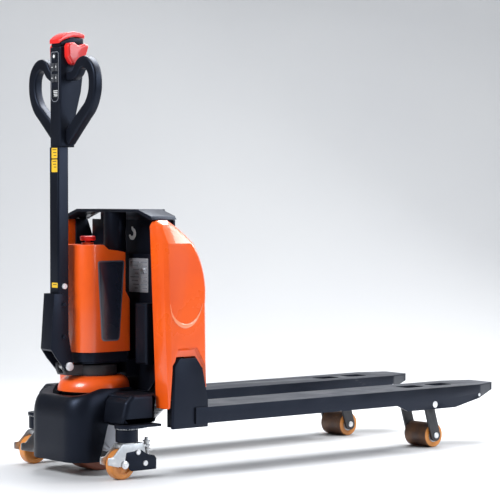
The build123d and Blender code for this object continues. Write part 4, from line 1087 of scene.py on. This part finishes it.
def node_slots() -> dict[str, str]:
    """The material slot of every CAD node."""
    return {part["node"]: part["material_slot"] for part in frame["record"]["subparts"]}


BODY_OF = node_bodies()
SLOT_OF = node_slots()


def arc_through(first: Point, middle: Point, last: Point, steps: int = 12) -> list[Point]:
    """The arc through three points.

    Args:
        first: Its start.
        middle: A point on it.
        last: Its end.
        steps: Pieces of the arc.

    Returns:
        The arc's points.
    """
    (ax, ay), (bx, by), (cx, cy) = first, middle, last
    d = 2 * (ax * (by - cy) + bx * (cy - ay) + cx * (ay - by))
    aa, bb, cc = ax ** 2 + ay ** 2, bx ** 2 + by ** 2, cx ** 2 + cy ** 2
    ux = (aa * (by - cy) + bb * (cy - ay) + cc * (ay - by)) / d
    uy = (aa * (cx - bx) + bb * (ax - cx) + cc * (bx - ax)) / d
    radius = math.hypot(ax - ux, ay - uy)
    start = math.atan2(ay - uy, ax - ux)
    sweep_angle = math.atan2(cy - uy, cx - ux) - start
    middle_angle = (math.atan2(by - uy, bx - ux) - start) % (2 * math.pi)
    sweep_angle %= 2 * math.pi
    if middle_angle > sweep_angle:
        sweep_angle -= 2 * math.pi
    return [(ux + radius * math.cos(start + sweep_angle * i / steps),
             uy + radius * math.sin(start + sweep_angle * i / steps)) for i in range(steps + 1)]


def fine_copy(node: str, width: float, paint: Paint | None = None) -> bpy.types.Object:
    """A copy of a CAD node with its outward edges broken.

    Args:
        node: The CAD node.
        width: The width of the broken edge in millimetres.
        paint: The finish, the slot's own if left out.

    Returns:
        The piece, which stands for the node.
    """
    work = bmesh.new()
    work.from_mesh(frame["nodes"][node].data)
    bmesh.ops.remove_doubles(work, verts=work.verts, dist=NODE_WELD)
    bmesh.ops.dissolve_limit(work, angle_limit=FLAT_ANGLE, verts=work.verts, edges=work.edges)
    sharp = [edge for edge in work.edges
             if len(edge.link_faces) == 2 and edge.calc_face_angle(0.0) > BREAK_ANGLE and edge.is_convex]
    bmesh.ops.bevel(work, geom=sharp, offset=width * MM, offset_type="WIDTH", segments=2,
                    profile=0.6, affect="EDGES", clamp_overlap=True)
    mesh = bpy.data.meshes.new(node + "_finished")
    work.to_mesh(mesh)
    work.free()
    shade_smooth(mesh)
    slot = SLOT_OF[node]
    return dress(linked(mesh.name, mesh), paint or SLOT_PAINT[slot], BODY_OF[node], slot, node)


EDGE_WIDTHS = {
    "battery_case": 3.0, "battery_cradle": 1.6, "tiller_tube": 2.0, "tiller_bracket": 1.6, "top_bracket": 1.4,
    "back_plate": 1.0, "control_panel": 0.6, "emergency_stop": 2.0, "chassis_frame": 0.8, "chassis_mast": 0.8,
    "caster_wheel_left": 1.2, "caster_wheel_right": 1.2, "drive_motor": 1.0, "gearbox": 1.2, "drive_tyre": 2.0}


# ---------------------------------------------------------------- carriage
@dataclass
class SideCover:
    """The glossy cover over one tower, with an arch over the heel plate."""

    side: Side
    inside: float = 206.0
    outside: float = 275.0
    rim: float = 12.0
    shoulder: float = 640.0
    lean: float = 0.55
    bevel_angle: float = math.radians(19)
    pocket: tuple[Point, ...] = ((-116, 236), (-116, 312), (-104, 352), (-38, 352), (-8, 300), (8, 236))
    ridge_line: tuple[Point, ...] = (
        (-131, 474), (-124, 446), (-107, 424), (-81, 413), (-54, 420), (-32, 443), (-18, 474))

    def outline(self) -> list[Point]:
        """The cover's side view."""
        return [(-30, 186), (-130, 186), *arc_through((-150, 676), (-146, 696), (-134, 703), 8),
                *arc_through((-108, 703), (-37, 628), (-2, 470), 22), (2, 210)]

    def heel(self, gap: float) -> list[Point]:
        """The side view of the cover's arch, which is the heel plate's drawn out by a gap."""
        return [(-124 - gap, 131), (-1 + gap, 131), (-1 + gap, 205), (-8 + gap, 240),
                (-20 + gap, 294 + gap / 2), (-42 + gap / 2, 324 + gap),
                (-104 - gap / 2, 324 + gap), (-119 - gap, 304 + gap / 2)]

    def cutter(self, outline: Sequence[Point], inner: float, outer: float,
               rim: float = 0.2) -> bpy.types.Object:
        """A slab that is taken away from the cover.

        Args:
            outline: Its side view.
            inner: Its inner place across the truck.
            outer: Its outer place across the truck.
            rim: The bevel of its inner rim.

        Returns:
            The cutter.
        """
        return slabs("cutter", [outline], *self.side.span(inner, outer), Facing.Y,
                     **self.side.rims(rim, 0.2), flat=True)

    def build(self) -> None:
        """Builds the cover and its ridge."""
        word = self.side.word
        work = bmesh.new()
        slab(work, self.outline(), *self.side.span(self.inside, self.outside), Facing.Y,
             **self.side.rims(2.0, self.rim), flat=True)
        every = [*work.verts, *work.edges, *work.faces]
        bmesh.ops.bisect_plane(work, geom=every, dist=0.01, plane_co=(0, 0, self.shoulder), plane_no=(0, 0, 1))
        for vertex in work.verts:
            over = vertex.co.z - self.shoulder
            if over > 0.01 and abs(vertex.co.y) > self.inside + 20:
                vertex.co.y -= self.side.value * over * self.lean
        cover = mesh_object(f"side_cover_{word}_shell", work)
        beyond = self.outside + 15
        through = (self.inside - 16, beyond)
        cut(cover, [self.cutter(self.pocket, self.outside - 9, beyond, 7.0),
                    self.cutter(self.heel(4.0), *through),
                    self.cutter(bar(-112, 20, 120, 240), *through)])
        cover.data.set_sharp_from_angle(angle=self.bevel_angle)
        dress(cover, Paint.ORANGE_GLOSS, "carriage", "orange_gloss", f"side_cover_{word}")
        self.ridge()

    def ridge(self) -> None:
        """The curved moulded ridge over the arch, in a paler orange that paints the highlight along its crease.
        """
        face = self.side.value * (self.outside + 0.2)
        path = smooth_path([Vector((x, face, z)) for x, z in self.ridge_line], 6)
        work = bmesh.new()
        sweep(work, path, lambda t: (0.3 + 2.0 * math.sin(math.pi * t), 0.8 + 5.4 * math.sin(math.pi * t) ** 2),
              Vector((0, 1, 0)), 16)
        for vertex in work.verts:
            vertex.co.y = self.side.value * min(abs(vertex.co.y), self.outside + 2.2)
        # The paler orange is painted highlight along the ridge.
        dress(mesh_object(f"side_cover_{self.side.word}_ridge", work), Paint.ORANGE_PALE, "carriage",
              "orange_gloss")


@dataclass
class LoadWheel:
    """A fork's load wheel with an amber band on its ends, and the screws of its axle."""

    side: Side
    axle: Point = (900.0, 37.0)
    broken_edge: float = 1.6
    end_slope: float = 0.6

    def build(self) -> None:
        """Builds the tyre and the axle screws."""
        word = self.side.word
        tyre = fine_copy(f"load_tyre_{word}", self.broken_edge, paint=Paint.LOAD_TREAD)
        tyre.data.materials.append(SHOP.get(Paint.CASTER_TREAD))
        for face in tyre.data.polygons:
            if abs(face.normal.y) > self.end_slope:
                face.material_index = 1
        low, high = (corner.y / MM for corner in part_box(f"rocker_{word}"))
        HeadPattern(radius=9.0, height=3.0, recess=0.55).build(
            f"load_wheel_{word}_axle_screws",
            [((self.axle[0], face, self.axle[1]), (0, way, 0)) for face, way in ((low, -1), (high, 1))],
            Paint.WHITE_ZINC, f"rocker_{word}", "zinc")


@dataclass
class Carriage:
    """The lifted half: covers, plates and forks."""

    covers: list[SideCover] = field(default_factory=lambda: [SideCover(side) for side in Side])
    wheels: list[LoadWheel] = field(default_factory=lambda: [LoadWheel(side) for side in Side])

    def build(self) -> None:
        """Builds every piece of the carriage."""
        for cover in self.covers:
            cover.build()
        for wheel in self.wheels:
            wheel.build()
        self.rating_plate()
        self.hook_sign()

    def rating_plate(self) -> None:
        """The anodised plate on the mast, with plain engraved bars."""
        plate = rounded(box_outline(-101, -10, 498, 594, 3))
        dress(slabs("rating_plate", [plate], -79.0, -78.1, Facing.X, edge=0.3, steps=1), Paint.PLATE, "chassis",
              "zinc")
        bars = []
        for row in range(8):
            height = 583 - row * 10.5
            ends = ((-96, -66 - (row % 3) * 6), (-58 + (row % 2) * 5, -16 - (row % 4) * 7))
            bars += [bar(first, last, height - 1.6, height + 1.6) for first, last in ends]
        dress(slabs("rating_plate_bars", bars, -79.2, -78.9, Facing.X, edge=0.1, steps=1), Paint.PRINT,
              "chassis", "zinc")
        HeadPattern(radius=1.9, height=1.0).build(
            "rating_plate_rivets",
            [((-79.0, y, z), (-1, 0, 0)) for y in (-97, -14) for z in (502, 590)],
            Paint.ZINC, "chassis", "zinc")

    def hook_sign(self) -> None:
        """A plain printed lifting-hook shape on the back plate."""
        work = bmesh.new()
        path = smooth_path([Vector((-62.25, y, z)) for y, z in
                            ((-2, 683), (-4, 676), (-12, 670), (-14, 660), (-6, 651), (6, 652), (10, 660))], 6)
        sweep(work, path, lambda t: (0.12, 3.2 + 3.4 * math.sin(math.pi * t)), Vector((1, 0, 0)), 12)
        dress(mesh_object("hook_sign", work), Paint.WHITE, "carriage", "zinc")


# ---------------------------------------------------------------- battery
@dataclass
class Battery:
    """The badges on the battery case."""

    half_width: float = 68.0

    def build(self) -> None:
        """Builds the badge panels on both faces."""
        for side in Side:
            self.badge(side)

    def badge(self, side: Side) -> None:
        """A plain dark badge with a lighter rim."""
        outline = [(-228, 590, 8), (-136, 590, 8), (-154, 365, 12), (-215, 365, 12)]
        for name, drawn, reach, paint in (("rim", 0.0, 0.5, Paint.RIM), ("panel", 4.0, 0.9, Paint.NAVY)):
            across = side.span(self.half_width - 0.5, self.half_width + reach)
            panel = slabs(f"battery_badge_{name}_{side.word}", [inset(rounded(outline), drawn)], *across,
                          Facing.Y, edge=0.3, steps=2)
            dress(panel, paint, "chassis", "black_moulding")


# ---------------------------------------------------------------- tiller
@dataclass
class Tiller:
    """The steering arm's moulded head, grips, labels and screws."""

    tube_face: float = -328.0
    head_face: float = -322.0
    head_half: float = 26.0

    def build(self) -> None:
        """Builds the tiller's pieces."""
        self.head()
        for side in Side:
            self.grip(side)
        self.labels()
        self.panel_trim()
        self.controls()
        HeadPattern(radius=8.0, height=4.6).build(
            "tiller_screws_upper", [((-308, s * 22, 520), (0, s, 0)) for s in (1, -1)],
            Paint.WHITE_ZINC, "tiller", "zinc", "tiller_bolts")
        HeadPattern(radius=7.0, height=3.6).build(
            "tiller_screws_lower", [((-312, s * 26, z), (0, s, 0)) for s in (1, -1) for z in (380, 470)],
            Paint.BLACK_PAINT, "tiller", "black_paint")

    def head(self) -> None:
        """The head's spine, with a recess for the panel and a well for the belly button's stem."""
        outline = rounded([(-322, 905, 2), (-275, 905, 2), (-268, 1000, 80), (-252, 1060, 80), (-243, 1130, 60),
                           (-240, 1193, 7), (-322, 1183, 7)])
        head = slabs("tiller_head_shell", [outline], -self.head_half, self.head_half, Facing.Y, edge=3.5,
                     steps=4)
        recess = slabs("recess", [bar(-20.3, 20.3, 1028, 1170)], self.head_face - 8, self.head_face + 6,
                       Facing.X, edge=0.1, steps=1)
        well = slabs("well", [bar(-312.3, -283.7, -10.3, 10.3)], 1163, 1200, Facing.Z, edge=0.1, steps=1)
        cut(head, [recess, well])
        dress(head, Paint.BLACK_MOULDING, "tiller", "black_moulding", "tiller_head")

    def grip(self, side: Side) -> None:
        """One hand loop, an oval bar bent round from the neck to the shoulder."""
        line = ((22, 928), (60, 960), (98, 992), (128, 1018), (146, 1054), (148, 1092), (139, 1117),
                (121, 1133), (101, 1137), (82, 1130), (68, 1112), (54, 1103), (38, 1101), (22, 1101))
        path = smooth_path([Vector((-290, side.value * y, z)) for y, z in line], 6)

        def sizes(share: float) -> Point:
            """Half thickness along the loop."""
            if share < 0.6:
                return 14.0, 21.0 - 4.0 * min(share / 0.3, 1.0)
            return 14.0 - 1.6 * (share - 0.6) / 0.4, 17.0 - 4.4 * min((share - 0.6) / 0.3, 1.0)

        work = bmesh.new()
        sweep(work, path, sizes, Vector((1, 0, 0)), 40, 0.42)
        dress(mesh_object(f"grip_{side.word}_loop", work), Paint.BLACK_MOULDING, "tiller", "black_moulding",
              f"grip_{side.word}")

    def labels(self) -> None:
        """Plain yellow labels with a few printed bars on the tube's front."""
        for name, low, high in (("upper", 874, 903), ("middle", 836, 871), ("lower", 516, 530)):
            label = rounded(box_outline(-19, 9, low, high, 2), 3)
            dress(slabs(f"tiller_label_{name}", [label], self.tube_face - 0.6, self.tube_face + 0.2, Facing.X,
                        edge=0.2, steps=1), Paint.YELLOW, "tiller", "grey_key")
            bars = [bar(-15, 4 - row * 3, high - 6 - row * 8, high - 4 - row * 8)
                    for row in range(int((high - low) // 9))]
            dress(slabs(f"tiller_label_{name}_bars", bars, self.tube_face - 0.8, self.tube_face - 0.5, Facing.X,
                        edge=0.1, steps=1), Paint.INK, "tiller", "grey_key")

    def panel_trim(self) -> None:
        """The light line round the control panel, the display's window and the marks on the keys."""
        outline = rounded([(-18, 1031, 16), (18, 1031, 16), (18, 1168, 6), (-18, 1168, 6)], 8)
        path = [Vector((self.head_face - 1.1, a, b)) for a, b in [*outline, outline[0]]]
        work = bmesh.new()
        sweep(work, path, lambda t: (0.35, 0.8), Vector((1, 0, 0)), 8)
        dress(mesh_object("panel_trim", work), Paint.PRINT, "tiller", "black_moulding")
        window = rounded(box_outline(-14, 14, 1041, 1065, 3), 4)
        dress(slabs("display_window", [window], -321.6, -320.9, Facing.X, edge=0.3, steps=1), Paint.GLASS_DARK,
              "tiller", "black_moulding")
        bars = [bar(-11, 6 + row, 1046 + row * 4.6, 1048 + row * 4.6) for row in range(4)]
        dress(slabs("display_bars", bars, -321.8, -321.5, Facing.X, edge=0.05, steps=1), Paint.WHITE, "tiller",
              "black_moulding")
        work = bmesh.new()
        lathe(work, (0, 1156), Facing.X, [(4.4, -326.2), (4.4, -326.0), (3.6, -325.9)], 24)
        dress(mesh_object("horn_mark", work), Paint.WHITE, "horn_button", "grey_key")
        for body, y, z in (("lift_button", -9, 1126), ("lower_button", 9, 1126), ("creep_button", -9, 1096),
                           ("power_button", 9, 1096)):
            marks = [bar(y - 3, y + 3, z - 0.9, z + 0.9)]
            if body in ("lift_button", "creep_button"):
                marks.append(bar(y - 0.9, y + 0.9, z + 1.4, z + 4))
            dress(slabs(f"{body}_mark", marks, -326.2, -325.9, Facing.X, edge=0.1, steps=1), Paint.WHITE, body,
                  "grey_key")

    def controls(self) -> None:
        """The red cap with its bellows, and the two thumb paddles."""
        top = [(-324, 1202.5), *arc_through((-324, 1202.5), (-280, 1224.5), (-240, 1217.5), 14)[1:]]
        under = [(-240, 1207.5), *arc_through((-240, 1207.5), (-280, 1209.5), (-324, 1191.5), 14)[1:]]
        cap = slabs("belly_cap", [[*top, *under]], -self.head_half, self.head_half, Facing.Y, edge=3.0, steps=3)
        dress(cap, Paint.RED, "belly_button", "red_moulding", "belly_button")
        folds = rounded([(-319, 1183.5, 1), (-243, 1191.5, 1), (-243, 1206.8, 2), (-281, 1209, 30),
                         (-319, 1194.5, 2)], 4)
        bellows = dress(slabs("belly_bellows", [folds], -23, 23, Facing.Y, edge=2.0, steps=2),
                        Paint.BLACK_MOULDING, "tiller", "black_moulding")
        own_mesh(bellows)
        outline = rounded([(-310, 1184, 7), (-305, 1192, 7), (-288, 1194, 9), (-272, 1184, 16),
                           (-253, 1192, 9), (-239, 1188, 6), (-248, 1162, 14), (-268, 1132, 14),
                           (-296, 1132, 12), (-309, 1154, 14)], 5)
        work = bmesh.new()
        for side in Side:
            slab(work, outline, *side.span(27.0, 48.0), Facing.Y, **side.rims(1.0, 6.0), steps=5)
        lathe(work, (-272, 1163), Facing.Y, [(7, -30), (7, 30)], 24)
        dress(mesh_object("thumb_paddles", work), Paint.RED, "throttle", "red_moulding", "throttle")


# ---------------------------------------------------------------- drive end
@dataclass
class DriveCover:
    """The moulded cover of the drive end: a tub with a soft shoulder and two wings."""

    centre: Point = (-190.0, 0.0)
    hole: float = 119.0
    front: float = -341.0
    half: float = 126.0
    corner: float = 60.0
    rear: float = -142.0
    wall: float = 3.0

    def plan(self) -> list[Point]:
        """The open plan line from the right rear round the front to the left rear."""
        line = rounded([(self.rear, -self.half, 0), (self.front, -self.half, self.corner),
                        (self.front, self.half, self.corner), (self.rear, self.half, 0)], 12)
        made = [line[0]]
        for point in line[1:]:
            gap = math.dist(made[-1], point)
            pieces = max(1, round(gap / 9))
            start = made[-1]
            run, rise = point[0] - start[0], point[1] - start[1]
            made += [(start[0] + run * i / pieces, start[1] + rise * i / pieces) for i in range(1, pieces + 1)]
        return made

    def section(self, point: Point) -> list[Vector]:
        """The closed wall section at a point of the plan.

        Args:
            point: The point of the plan.

        Returns:
            The section's points, outside first.
        """
        reach = math.dist(point, self.centre)
        way = ((self.centre[0] - point[0]) / reach, (self.centre[1] - point[1]) / reach)
        top = min(238.0, 213.0 + (point[0] + 360) * 0.24)
        rim = max(reach - self.hole, 4.0)
        soft = min(26.0, rim - 0.5)
        low = min(max(38.0, 38 + (point[0] + 262) * 3.55), 148.0)
        knee = 158.0
        line = [(1.5, low), (0, low + 3), (0, low + (knee - low) * 0.4 + 1), (0, knee - 1)]
        for step in range(9):
            angle = math.pi / 2 * step / 8
            line.append((soft * (1 - math.cos(angle)), knee + (top - knee) * math.sin(angle)))
        line += [(rim - 0.3, top + 0.4), (rim, top - 1), (rim, top - self.wall)]
        line += [(soft + 1.5, top - self.wall - 1)]
        for step in (6, 4, 2):
            angle = math.pi / 2 * step / 8
            line.append((soft * (1 - math.cos(angle)) + self.wall, knee + (top - knee) * math.sin(angle) - 2))
        line.append((self.wall, low))
        return [Vector((point[0] + way[0] * drawn, point[1] + way[1] * drawn, height))
                for drawn, height in line]

    def build(self) -> None:
        """Builds the tub and the wings."""
        work = bmesh.new()
        add_rings(work, [self.section(point) for point in self.plan()])
        tub = mesh_object("drive_cover_tub", work)
        dress(tub, Paint.BLACK_MOULDING, "chassis", "black_moulding", "drive_cover")
        side_view = rounded([(-250, 148, 3), (-248, 168, 20), (-238, 206, 14), (-216, 228, 16), (-139, 228, 2),
                             (-139, 148, 2)], 6)
        for side in Side:
            work = bmesh.new()
            slab(work, side_view, *side.span(119.5, 222.0), Facing.Y, **side.rims(1.0, 14.0), steps=7)
            for vertex in work.verts:
                vertex.co.x = max(vertex.co.x, -250.0)
            dress(mesh_object(f"drive_cover_wing_{side.word}", work), Paint.BLACK_MOULDING, "chassis",
                  "black_moulding")


@dataclass
class Hood:
    """The glossy domed hood that turns with the drive unit."""

    def build(self) -> None:
        """Builds the dome over its hollow."""
        profile = [(101.0, 226.0), (101.0, 233.0)]
        profile += [(63 + 38 * math.cos(a) ** 0.8, 233 + 35 * math.sin(a) ** 1.1)
                    for a in (math.radians(90) * i / 12 for i in range(1, 12))]
        profile += [(63.0, 268.0), (60.0, 268.0), (41.0, 268.0), (40.5, 267.5), (40.5, 264.5), (60.0, 264.5),
                    (88.0, 247.0), (97.0, 232.0), (98.0, 226.0)]
        work = bmesh.new()
        rings = []
        for radius, height in profile:
            shift = -190 - 6 * (268 - height) / 42
            rings.append([lift(p, height, Facing.Z) for p in circle(shift, 0, radius, 72)])
        add_rings(work, rings, loop=True)
        dress(mesh_object("hood_dome", work), Paint.ORANGE_MOULDING, "steering", "orange_moulding", "hood")


@dataclass
class Caster:
    """One sprung caster: plated arms and block, dark side plates, screws and a wound spring."""

    side: Side
    x: float = -235.0
    inner: float = 16.5
    outer: float = 21.5

    @property
    def y(self) -> float:
        """The caster's place across the truck."""
        return self.side.value * 216.0

    def build(self) -> None:
        """Builds the caster's fork, screws, spring and top plate."""
        word, x, y = self.side.word, self.x, self.y
        body = f"caster_{word}"
        arm = rounded([(x - 76, 44, 3), (x - 76, 64, 5), (x - 60, 64, 8), (x - 28, 97, 6), (x + 44, 97, 6),
                       (x + 50, 64, 8), (x + 50, 40, 6), (x + 8, 24, 3), (x - 4, 36, 4), (x - 42, 36, 6)], 4)
        plate = rounded([(x - 6, 26, 6), (x - 20, 52, 8), (x - 16, 74, 5), (x + 34, 78, 6), (x + 52, 66, 8),
                         (x + 78, 60, 6), (x + 84, 52, 4), (x + 84, 22, 3), (x + 2, 22, 3)], 4)
        work = bmesh.new()
        for low in (self.inner, -self.outer + 1.4):
            slab(work, arm, y + low, y + low + 3.6, Facing.Y, edge=1.0, steps=2)
        dress(mesh_object(f"caster_{word}_arms", work), Paint.ZINC, body, "zinc", f"caster_fork_{word}")
        work = bmesh.new()
        for low in (self.inner + 2.6, -self.outer):
            slab(work, plate, y + low, y + low + 2.4, Facing.Y, edge=0.8, steps=2)
        dress(mesh_object(f"caster_{word}_side_plates", work), Paint.BLACK_PAINT, body, "black_paint")
        work = bmesh.new()
        block = rounded(box_outline(x - 28, x + 44, y - 16.4, y + 16.4, 1), 2)
        slab(work, block, 84, 97.2, Facing.Z, edge=1.2, steps=2)
        lathe(work, (x, y), Facing.Z, [(22, 96), (22, 99.2), (21.4, 99.7)])
        lathe(work, (x, y), Facing.Z, [(10, 96), (10, 126.5)])
        foot = rounded([(x + 44, y - 8, 1), (x + 72, y - 8, 3), (x + 72, y + 8, 3), (x + 44, y + 8, 1)], 2)
        slab(work, foot, 84, 90, Facing.Z, edge=0.8, steps=2)
        lathe(work, (x + 66, y), Facing.Z, [(7, 38), (7, 97), (10.6, 97.2), (10.6, 100.4), (10.0, 101)], 32)
        lathe(work, (x + 66, y), Facing.Z, [(6, 100), (6, 108.2), (5.2, 109)], 6)
        for bar_x, bar_z, radius in ((x - 22, 41, 6), (x + 46, 41, 6), (x + 22, 73, 4.5)):
            lathe(work, (bar_x, bar_z), Facing.Y, [(radius, y - 17), (radius, y + 17)], 24)
        dress(mesh_object(f"caster_{word}_block", work), Paint.ZINC, body, "zinc")
        heads = (("axle", ((x - 22, 41),), 11.0), ("cheek", ((x + 46, 41), (x + 22, 73)), 7.5))
        for label, spots, radius in heads:
            HeadPattern(radius=radius, height=4.0, recess=0.5).build(
                f"caster_{word}_{label}_screws",
                [((sx, y + way * self.outer, sz), (0, way, 0)) for sx, sz in spots for way in (1, -1)],
                Paint.WHITE_ZINC, body, "zinc")
        CoilPattern(radius=9.6, wire=1.5, height=50.0, turns=6.0).build(
            f"caster_{word}_spring", (x + 66, y, 44), Facing.Z, Paint.STEEL, body, "steel")
        work = bmesh.new()
        lathe(work, (x, y), Facing.Z, [(33, 136), (33, 139), (32.4, 139.8)])
        dress(mesh_object(f"caster_{word}_top_plate", work), Paint.ZINC, "chassis", "zinc")


@dataclass
class DriveEnd:
    """The cover, the hood and the casters."""

    cover: DriveCover = field(default_factory=DriveCover)
    hood: Hood = field(default_factory=Hood)
    casters: list[Caster] = field(default_factory=lambda: [Caster(side) for side in Side])

    def build(self) -> None:
        """Builds every piece of the drive end."""
        self.cover.build()
        self.hood.build()
        for caster in self.casters:
            caster.build()


# ---------------------------------------------------------------- studio
@dataclass
class Studio:
    """Floor, lights, world and camera."""

    place: tuple[float, float, float] = (-3.4696, -4.7404, 0.7767)
    yaw: float = 50.98
    pitch: float = -1.581
    lens: float = 147.15
    near_edge: float = -9.0
    bend_start: float = 2.4
    bend_radius: float = 1.6
    bend_steps: int = 14
    wall_top: float = 7.0
    rows: tuple[float, ...] = (-11.0, -4.0, 0.0, 4.0, 11.0)

    @property
    def turn(self) -> Matrix:
        """The turn from the main view's own directions to the frame's."""
        return Matrix.Rotation(math.radians(self.yaw), 3, "Z")

    def build(self) -> None:
        """Sets the studio up."""
        self.floor()
        self.lights()
        self.world()
        self.camera()

    def floor(self) -> None:
        """A pale floor that bends up into a wall beyond the truck, as the main view looks."""
        work = bmesh.new()
        quarter = [math.radians(90) * i / self.bend_steps for i in range(1, self.bend_steps + 1)]
        profile = [(self.near_edge, 0.0), (self.bend_start, 0.0)]
        profile += [(self.bend_start + self.bend_radius * math.sin(a),
                     self.bend_radius - self.bend_radius * math.cos(a)) for a in quarter]
        profile.append((self.bend_start + self.bend_radius, self.wall_top))
        rows = [[work.verts.new(self.turn @ Vector((along, across, height))) for across in self.rows]
                for along, height in profile]
        for low, high in zip(rows, rows[1:]):
            for index in range(len(self.rows) - 1):
                work.faces.new((low[index], high[index], high[index + 1], low[index + 1]))
        bmesh.ops.recalc_face_normals(work, faces=work.faces)
        mesh = bpy.data.meshes.new("studio_floor")
        work.to_mesh(mesh)
        work.free()
        mesh.polygons.foreach_set("use_smooth", [True] * len(mesh.polygons))
        item = linked("studio_floor", mesh)
        item.data.materials.append(SHOP.get(Paint.FLOOR))

    def area(self, name: str, along: float, across: float, height: float, size: Point, power: float,
             colour: tuple[float, float, float] = (1, 1, 1), target: Sequence[float] = (-0.2, 0, 0.5)) -> None:
        """Adds a softbox placed as the camera sees the truck.

        Args:
            name: The light's name.
            along: Metres beyond the truck, away from the camera.
            across: Metres to the camera's right.
            height: Metres above the floor.
            size: Width and height of the softbox in metres.
            power: Watts.
            colour: The light's colour.
            target: The point it faces.
        """
        lamp = bpy.data.lights.new(name, "AREA")
        lamp.shape = "RECTANGLE"
        lamp.size, lamp.size_y = size
        lamp.energy = power
        lamp.color = colour
        item = bpy.data.objects.new(name, lamp)
        bpy.context.scene.collection.objects.link(item)
        item.location = self.turn @ Vector((along, -across, height))
        item.rotation_euler = (Vector(target) - item.location).to_track_quat("-Z", "Y").to_euler()

    def lights(self) -> None:
        """A key from the upper left, a wide overhead box, a fill, a rim and one for the sloping faces."""
        self.area("key", -2.2, -2.8, 2.9, (1.5, 1.5), 150, (0.93, 0.96, 1.0))
        self.area("overhead", 0.9, 0.2, 3.0, (2.6, 1.5), 170, (0.95, 0.97, 1.0))
        self.area("fill", -2.0, 3.4, 2.0, (1.2, 2.0), 70, (0.86, 0.92, 1.0))
        self.area("rim", 2.2, 1.8, 1.9, (1.6, 1.4), 50)
        self.area("slope", 0.15, 2.5, 2.6, (1.3, 1.3), 70)

    def world(self) -> None:
        """A soft, pale world."""
        world = bpy.data.worlds.new("studio_world")
        world.use_nodes = True
        background = world.node_tree.nodes["Background"]
        background.inputs["Color"].default_value = (0.9, 0.92, 0.95, 1)
        background.inputs["Strength"].default_value = 0.14
        bpy.context.scene.world = world

    def camera(self) -> None:
        """The main view's camera."""
        lens = bpy.data.cameras.new("main_view")
        lens.lens = self.lens
        lens.sensor_width = 36.0
        lens.clip_end = 60.0
        lens.dof.use_dof = False
        item = bpy.data.objects.new("main_view", lens)
        bpy.context.scene.collection.objects.link(item)
        yaw, pitch = math.radians(self.yaw), math.radians(self.pitch)
        way = Vector((math.cos(pitch) * math.cos(yaw), math.cos(pitch) * math.sin(yaw), math.sin(pitch)))
        item.location = Vector(self.place) + Vector((HEEL * MM, 0, 0))
        item.rotation_euler = way.to_track_quat("-Z", "Y").to_euler()
        bpy.context.scene.camera = item


# ---------------------------------------------------------------- the whole truck
@dataclass
class PalletTruck:
    """Every sub-assembly of the truck."""

    carriage: Carriage = field(default_factory=Carriage)
    battery: Battery = field(default_factory=Battery)
    tiller: Tiller = field(default_factory=Tiller)
    drive_end: DriveEnd = field(default_factory=DriveEnd)

    def build(self) -> None:
        """Builds the shaped pieces, then finishes every other CAD node."""
        for part in (self.carriage, self.battery, self.tiller, self.drive_end):
            part.build()
        shown = {"side_cover_left", "side_cover_right", "tiller_head", "tiller_bolts", "grip_left",
                 "grip_right", "belly_button", "throttle", "drive_cover", "hood",
                 "caster_fork_left", "caster_fork_right", "load_tyre_left", "load_tyre_right"}
        paints = {"controller_box": Paint.BLACK_MOULDING, "pump_unit": Paint.BLACK_MOULDING,
                  "drive_motor": Paint.MOTOR_LIGHT, "gearbox": Paint.MOTOR_LIGHT,
                  "fork_pins": Paint.WHITE_ZINC, "tiller_pin": Paint.WHITE_ZINC,
                  "entry_roller_left": Paint.LOAD_TREAD, "entry_roller_right": Paint.LOAD_TREAD}
        for node in sorted(frame["nodes"]):
            if node in SLOT_OF and node not in shown:
                key = node if node in EDGE_WIDTHS else node.rsplit("_", 1)[0]
                fine_copy(node, EDGE_WIDTHS.get(key, BROKEN_EDGE), paint=paints.get(node))


def main() -> None:
    """Builds the truck and its studio."""
    logging.basicConfig(level=logging.INFO, format="%(name)s: %(message)s")
    bpy.context.scene.view_settings.view_transform = "Standard"
    PalletTruck().build()
    Studio().build()


if __name__ == "__main__":
    main()
